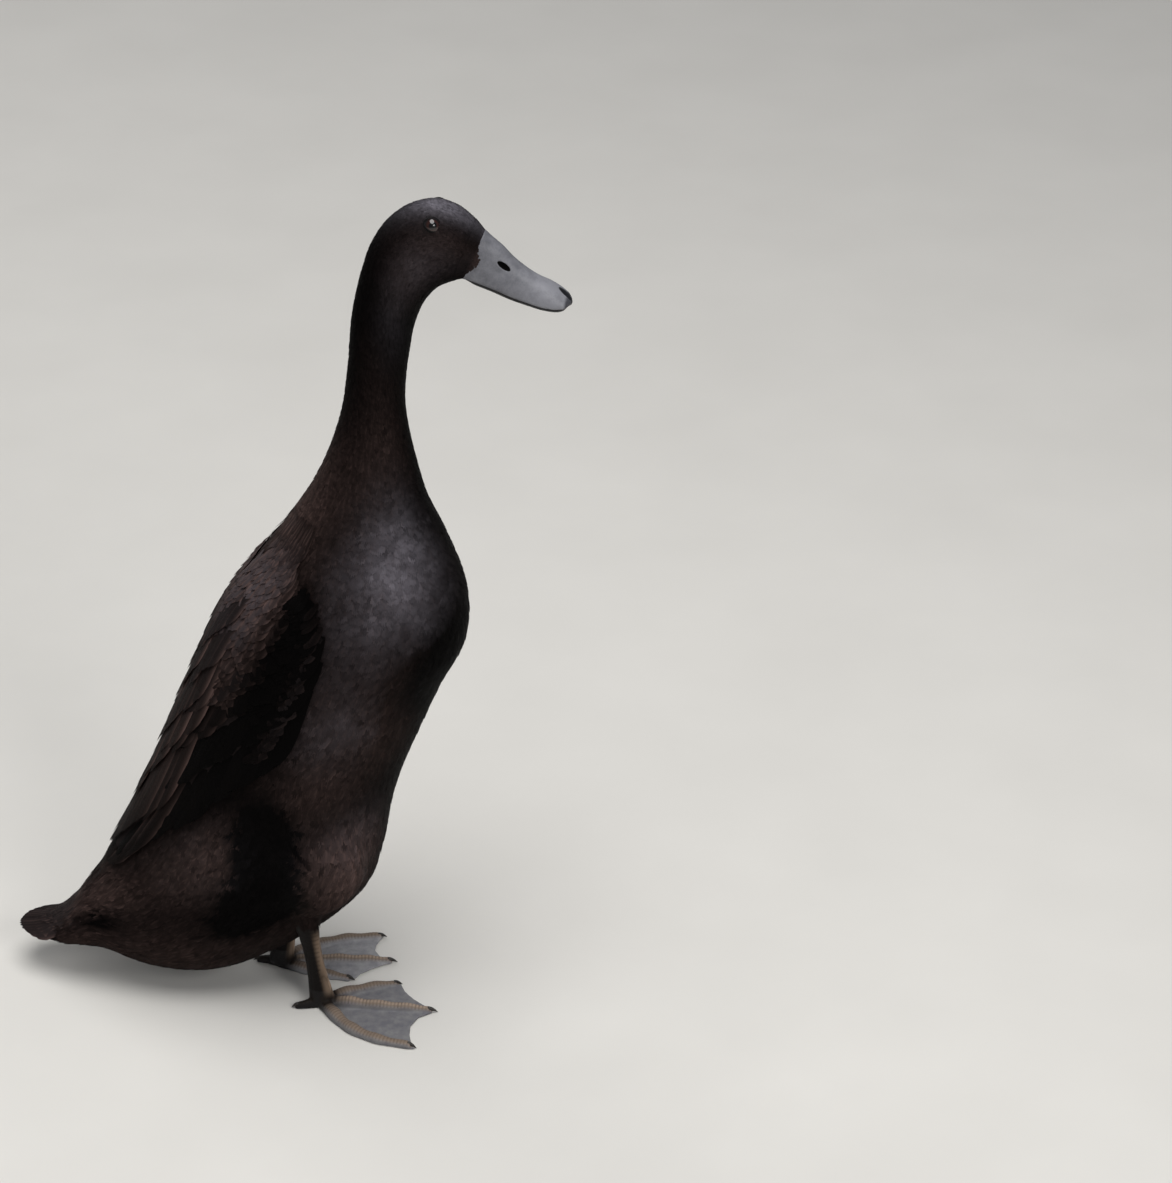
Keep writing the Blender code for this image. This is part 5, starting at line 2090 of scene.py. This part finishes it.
            # Toe roots by the ankle and the hind toe go dark: partly own colour, partly painted shade.
            dark = np.maximum(dark, root * soft_step(2.0, 1.2, lateral))
            stronger = mask > scute
            ridge = np.where(stronger, np.abs(np.sin(math.pi * place / self.toe_scute)) ** 0.6, ridge)
            # The beads on top of the middle toe get the strongest painted highlight.
            top = soft_step(0.6, 0.2, lateral) * (name == "middle")
            painted_light_level = self.scute_painted_light + (1 - self.scute_painted_light) * top
            ridge_painted_light = np.where(stronger, painted_light_level, ridge_painted_light)
            scute = np.maximum(scute, mask)
        z = points[:, 2]
        radial = points - self.axis(np.clip(self.share_at(z), 0, 1.1))
        out = np.linalg.norm(radial[:, :2], axis=1)
        front = radial[:, 0] / np.maximum(out, 0.1)
        dark = np.maximum(dark, soft_step(14.0, 9.0, out) * soft_step(2.0, 6.0, z))
        shank = soft_step(7.0, 15.0, z) * soft_step(12.5, 9.0, out)
        face = shank * soft_step(-0.1, 0.5, front)
        ridge = np.where(face > scute, np.abs(np.sin(math.pi * z / self.shank_scute)) ** 0.6, ridge)
        ridge_painted_light = np.where(face > scute, self.scute_painted_light, ridge_painted_light)
        raised = np.maximum(scute, face)
        return self.scute_high * (ridge - 0.6) * raised, {
            "scute": scute * (1 - shank),
            # Painted highlights on the scutes' ridges and painted shade in their grooves.
            "ridge": np.where(raised > 0.3, ridge * ridge_painted_light, 0.27),
            # The shank's mark also carries that painted shade of the foot's rear.
            "shank": np.maximum(shank, 0.95 * dark),
            # The shin's front: partly its own orange-brown, partly a painted highlight where light falls.
            "shin": 0.95 * face * soft_step(0.35, 1.1, front) * soft_step(66, 50, z),
        }

    def build(self) -> list[Object]:
        """Fuses the leg's skin, raises its scutes and adds the claws.

        Returns:
            The skin, the feathers round the hock, then the claws.
        """
        leg = self.rough()
        self.fuse(leg)
        mesh = leg.data
        points, normals = (np.empty(len(mesh.vertices) * 3, np.float32) for _ in range(2))
        mesh.vertices.foreach_get("co", points)
        mesh.vertex_normals.foreach_get("vector", normals)
        points = points.reshape(-1, 3).astype(float) / MM
        height, marks = self.scale(points)
        points = points + normals.reshape(-1, 3) * height[:, None]
        points[:, 2] = np.maximum(points[:, 2], 0.02)
        mesh.vertices.foreach_set("co", (points * MM).astype(np.float32).ravel())
        write_marks(mesh, marks)
        mesh.shade_smooth()
        mesh.update()
        return [leg, self.trousers(), *self.claws()]

    def hang(self, along: Array, across: Array, lift: Array) -> Array:
        """Points on the cone round the hock: along runs down from z = 100, across is in degrees.

        Args:
            along: Distances down from z = 100.
            across: Degrees round the leg.
            lift: Distances off the cone.

        Returns:
            One point for each place.
        """
        z = 100 - along
        cone = np.array(self.cone, float)
        far = np.interp(z, cone[:, 0], cone[:, 1]) + lift
        angle = np.radians(across)
        oval = np.stack([far * np.cos(angle), 0.8 * far * np.sin(angle), 0 * far], axis=1)
        return self.axis(self.share_at(z)) + oval

    def trousers(self) -> Object:
        """The last feathers of the thigh, which hang round the hock.

        Returns:
            The feathers.
        """
        chance = np.random.default_rng(SEED + 5 + self.side.value)
        roots = []
        for high, long in self.fringe:
            for angle in np.arange(0, 360, 11):
                place = (100 - high + chance.uniform(-1.5, 1.5), angle + chance.uniform(-4, 4))
                roots.append((*place, long * chance.uniform(0.85, 1.15)))
        along, turn, long = np.array(roots).T
        count = len(roots)
        plumes = Plumes(
            along, turn, long, 2.0, low=-1.0, high=chance.uniform(0.1, 0.9, count),
            lean=chance.normal(0, 0.15, count), tuck=chance.normal(0, 0.1, count),
        )
        laid = lay(plumes, BODY_VANE, self.hang, (1.0, 0.17), 0.15, chance)
        shade = own_shade(chance, 0.2, count, (0.5, 1.6))
        marks = {Mark.SHADE.value: shade, Mark.GREY.value: 0.0, Mark.BROWN.value: 0.15}
        unwrap = np.stack([(turn % 360) / 360, along / 50], axis=1)
        return coat_piece(f"trouser_feathers_{self.side.tag}", laid, unwrap, marks, self.down)

    def claws(self) -> list[Object]:
        """Short curved claws, one at the end of each toe.

        Returns:
            The claws, in the order of the toes.
        """
        made = []
        share = np.linspace(0, 1, 12)
        thick = 2.0 * np.clip(1 - share, 0.03, 1) ** 0.7
        angle = round_angles(14)
        for name, run, long in self.toes:
            line, ahead, _, _ = self.toe_line(run)
            forward, root = ahead[-3], line[-3]
            across = np.array([-forward[1], forward[0], 0])
            middle = root + forward * ((self.claw_share * long + 1.6) * share)[:, None]
            middle[:, 2] = 2.7 + 0.5 * np.sin(math.pi * share) - 1.9 * share**2
            rings = middle[:, None] + across * (0.8 * thick[:, None] * np.cos(angle))[:, :, None]
            rings[:, :, 2] = np.maximum(rings[:, :, 2] + thick[:, None] * np.sin(angle), 0.05)
            label = f"horn_{name}_{self.side.tag}"
            made.append(make_object(label, *loft(rings), self.horn.material(), {"tone": 0.0}))
        return made


# Stage.


@dataclass(frozen=True)
class Camera:
    """The photograph's view: level, from the bird's front right, looking down."""

    place: tuple = (0.48615, -2.28717, 1.64)
    forward: tuple = (-0.11014, 0.85903, -0.49994)
    lens: float = 130.855

    def build(self) -> None:
        """Makes the scene's camera."""
        data = bpy.data.cameras.new("camera")
        data.lens = self.lens
        data.sensor_width = 36.0
        data.clip_end = 50.0
        made = put_in_scene("camera", data)
        made.location = self.place
        made.rotation_euler = Vector(self.forward).to_track_quat("-Z", "Y").to_euler()
        bpy.context.scene.camera = made


@dataclass(frozen=True)
class Studio:
    """A pale floor under broad soft lights."""

    floor: PaperFinish = PaperFinish()
    # Name, place, point aimed at, size in metres, power in watts.
    lights: tuple = (
        ("overhead", (0.1, -0.5, 2.6), (0, 0, 0.2), 2, 56),
        ("window", (1.6, -1.9, 1.6), (0, 0, 0.3), 1.2, 26),
        ("far_side", (-1.6, 1.4, 1.7), (0, 0, 0.3), 1.4, 12),
    )
    sky: str = "c9cdd4"
    sky_strength: float = 0.3
    tones: str = "Standard"

    def build(self) -> None:
        """Makes the floor, the lights and the sky."""
        corners = np.array([[-8, -5, 0], [8, -5, 0], [8, 14, 0], [-8, 14, 0]], float) / MM
        floor = make_object("floor", corners, np.array([[0, 1, 2, 3]]), self.floor.material())
        for name, place, aim, size, power in self.lights:
            data = bpy.data.lights.new(name, "AREA")
            data.shape = "DISK"
            data.size = size
            data.energy = power
            light = put_in_scene(name, data)
            light.location = place
            light.rotation_euler = (Vector(aim) - Vector(place)).to_track_quat("-Z", "Y").to_euler()
        bpy.context.scene.view_settings.view_transform = self.tones
        world = bpy.data.worlds.new("soft_sky")
        world.use_nodes = True
        back = world.node_tree.nodes["Background"]
        back.inputs["Color"].default_value = linear(self.sky)
        back.inputs["Strength"].default_value = self.sky_strength
        bpy.context.scene.world = world


def coats() -> list[Coat]:
    """The stretches of small feathers from the face to the tail.

    Returns:
        One coat for each stretch.
    """
    head = FeatherFinish("head_feather", barbs=8.0)
    neck = FeatherFinish("neck_feather", barbs=12.0)
    body = FeatherFinish("body_feather", barbs=18.0)
    loose = {"ragged": 0.14, "lean": 0.2, "shade": 0.2}
    own = {"head": {"before": 0.2}, "breast": {"ragged": 0.09}, "belly": loose, "rump": loose | {"after": 14}}
    # Name, first and last oval, then spacing, length, half width and depth at both, shape, finish.
    small, full = SMALL_VANE, BODY_VANE
    rows = (
        ("head", "bill_root", "nape", (0.85, 1.15), (3.6, 5.4), (0.8, 1.25), (0.45, 0.7), small, head),
        ("upper_neck", "nape", "upper_neck", (1.15, 1.5), (5.4, 8), (1.25, 1.7), (0.7, 0.9), small, neck),
        ("neck", "upper_neck", "collar", (1.5, 1.95), (8, 11), (1.7, 2.3), (0.9, 1.3), full, neck),
        ("breast", "collar", "flank", (1.95, 2.3), (11, 15), (2.3, 2.8), (1.3, 1.7), full, body),
        ("belly", "flank", "hip", (2.3, 2.3), (15, 17), (2.8, 2.8), (1.7, 1.9), full, body),
        ("rump", "hip", "tail_root", (2.3, 2.3), (17, 16), (2.8, 2.6), (1.9, 2.1), full, body),
    )
    return [Coat(f"{name}_feathers", *sizes, **own.get(name, {})) for name, *sizes in rows]


def main() -> None:
    """Builds the bird, its stage and its camera."""
    logging.basicConfig(level=logging.INFO, format="%(name)s: %(message)s")
    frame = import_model()
    Camera().build()
    Studio().build()
    trunk, bill = Trunk(), Bill()
    trunk.take_bill(bill.surface(np.zeros(121), np.linspace(0, 180, 121), 0.1))
    trunk.take_thighs([frame["nodes"]["thigh_l"], frame["nodes"]["thigh_r"]])
    markings = Markings(trunk)
    eyes = [Eye(side) for side in Side]
    flesh = ("head", "neck_upper", "neck_lower", "torso", "rump", "thigh_l", "thigh_r")
    ride_all([Skin(trunk, markings).build()], flesh)
    for eye in eyes:
        ball, lids = eye.build()
        ride_all([ball], (f"eye_{eye.side.tag}",))
        ride_all([lids])
    upper, lower, nail = bill.build()
    ride_all([upper], ("bill_upper",))
    ride_all([lower], ("bill_lower",))
    ride_all([nail], ("bill_nail",))
    ride_all([FaceEdge(trunk, bill, markings).build()])
    wings = [Wing(side, trunk, markings) for side in Side]

    def bare(along: Array, turn: Array, points: Array) -> Array:
        """Tells the places that take no feather.

        Args:
            along: Distances along the trunk.
            turn: Degrees from the back.
            points: The same places as points.

        Returns:
            Whether each is on a lid or under a wing.
        """
        found = wings[0].covers(along, turn)
        for eye in eyes:
            found |= eye.covers(points)
        return found

    for number, coat in enumerate(coats()):
        ride_all([coat.build(trunk, markings, bare, SEED + 10 * number)])
    for wing in wings:
        ride_all(wing.build(), (f"wing_{wing.side.tag}",))
    ride_all(Tail().build(), ("tail",))
    # The far leg's skin is a paler copy of the finish: painted light, as if sunlit, not in the body's shade.
    paler = ScaleFinish("far_leg_skin_painted_sunlit", "9a999a", "838286")
    legs = (
        Leg(Side.RIGHT, (22.4, -27.0), 0.0, 1.0, (-8.5, -3.0, 70.0)),
        Leg(Side.LEFT, (-12.0, 14.0), 9.0, 0.72, (12.0, 12.0, 70.0), finish=paler),
    )
    for leg in legs:
        skin, fringe, *claws = leg.build()
        tag = leg.side.tag
        ride_all([skin], (f"shank_{tag}", f"foot_{tag}"))
        ride_all([fringe])
        for (name, _, _), claw in zip(leg.toes, claws):
            ride_all([claw], (f"claw_{name}_{tag}",))


if __name__ == "__main__":
    main()
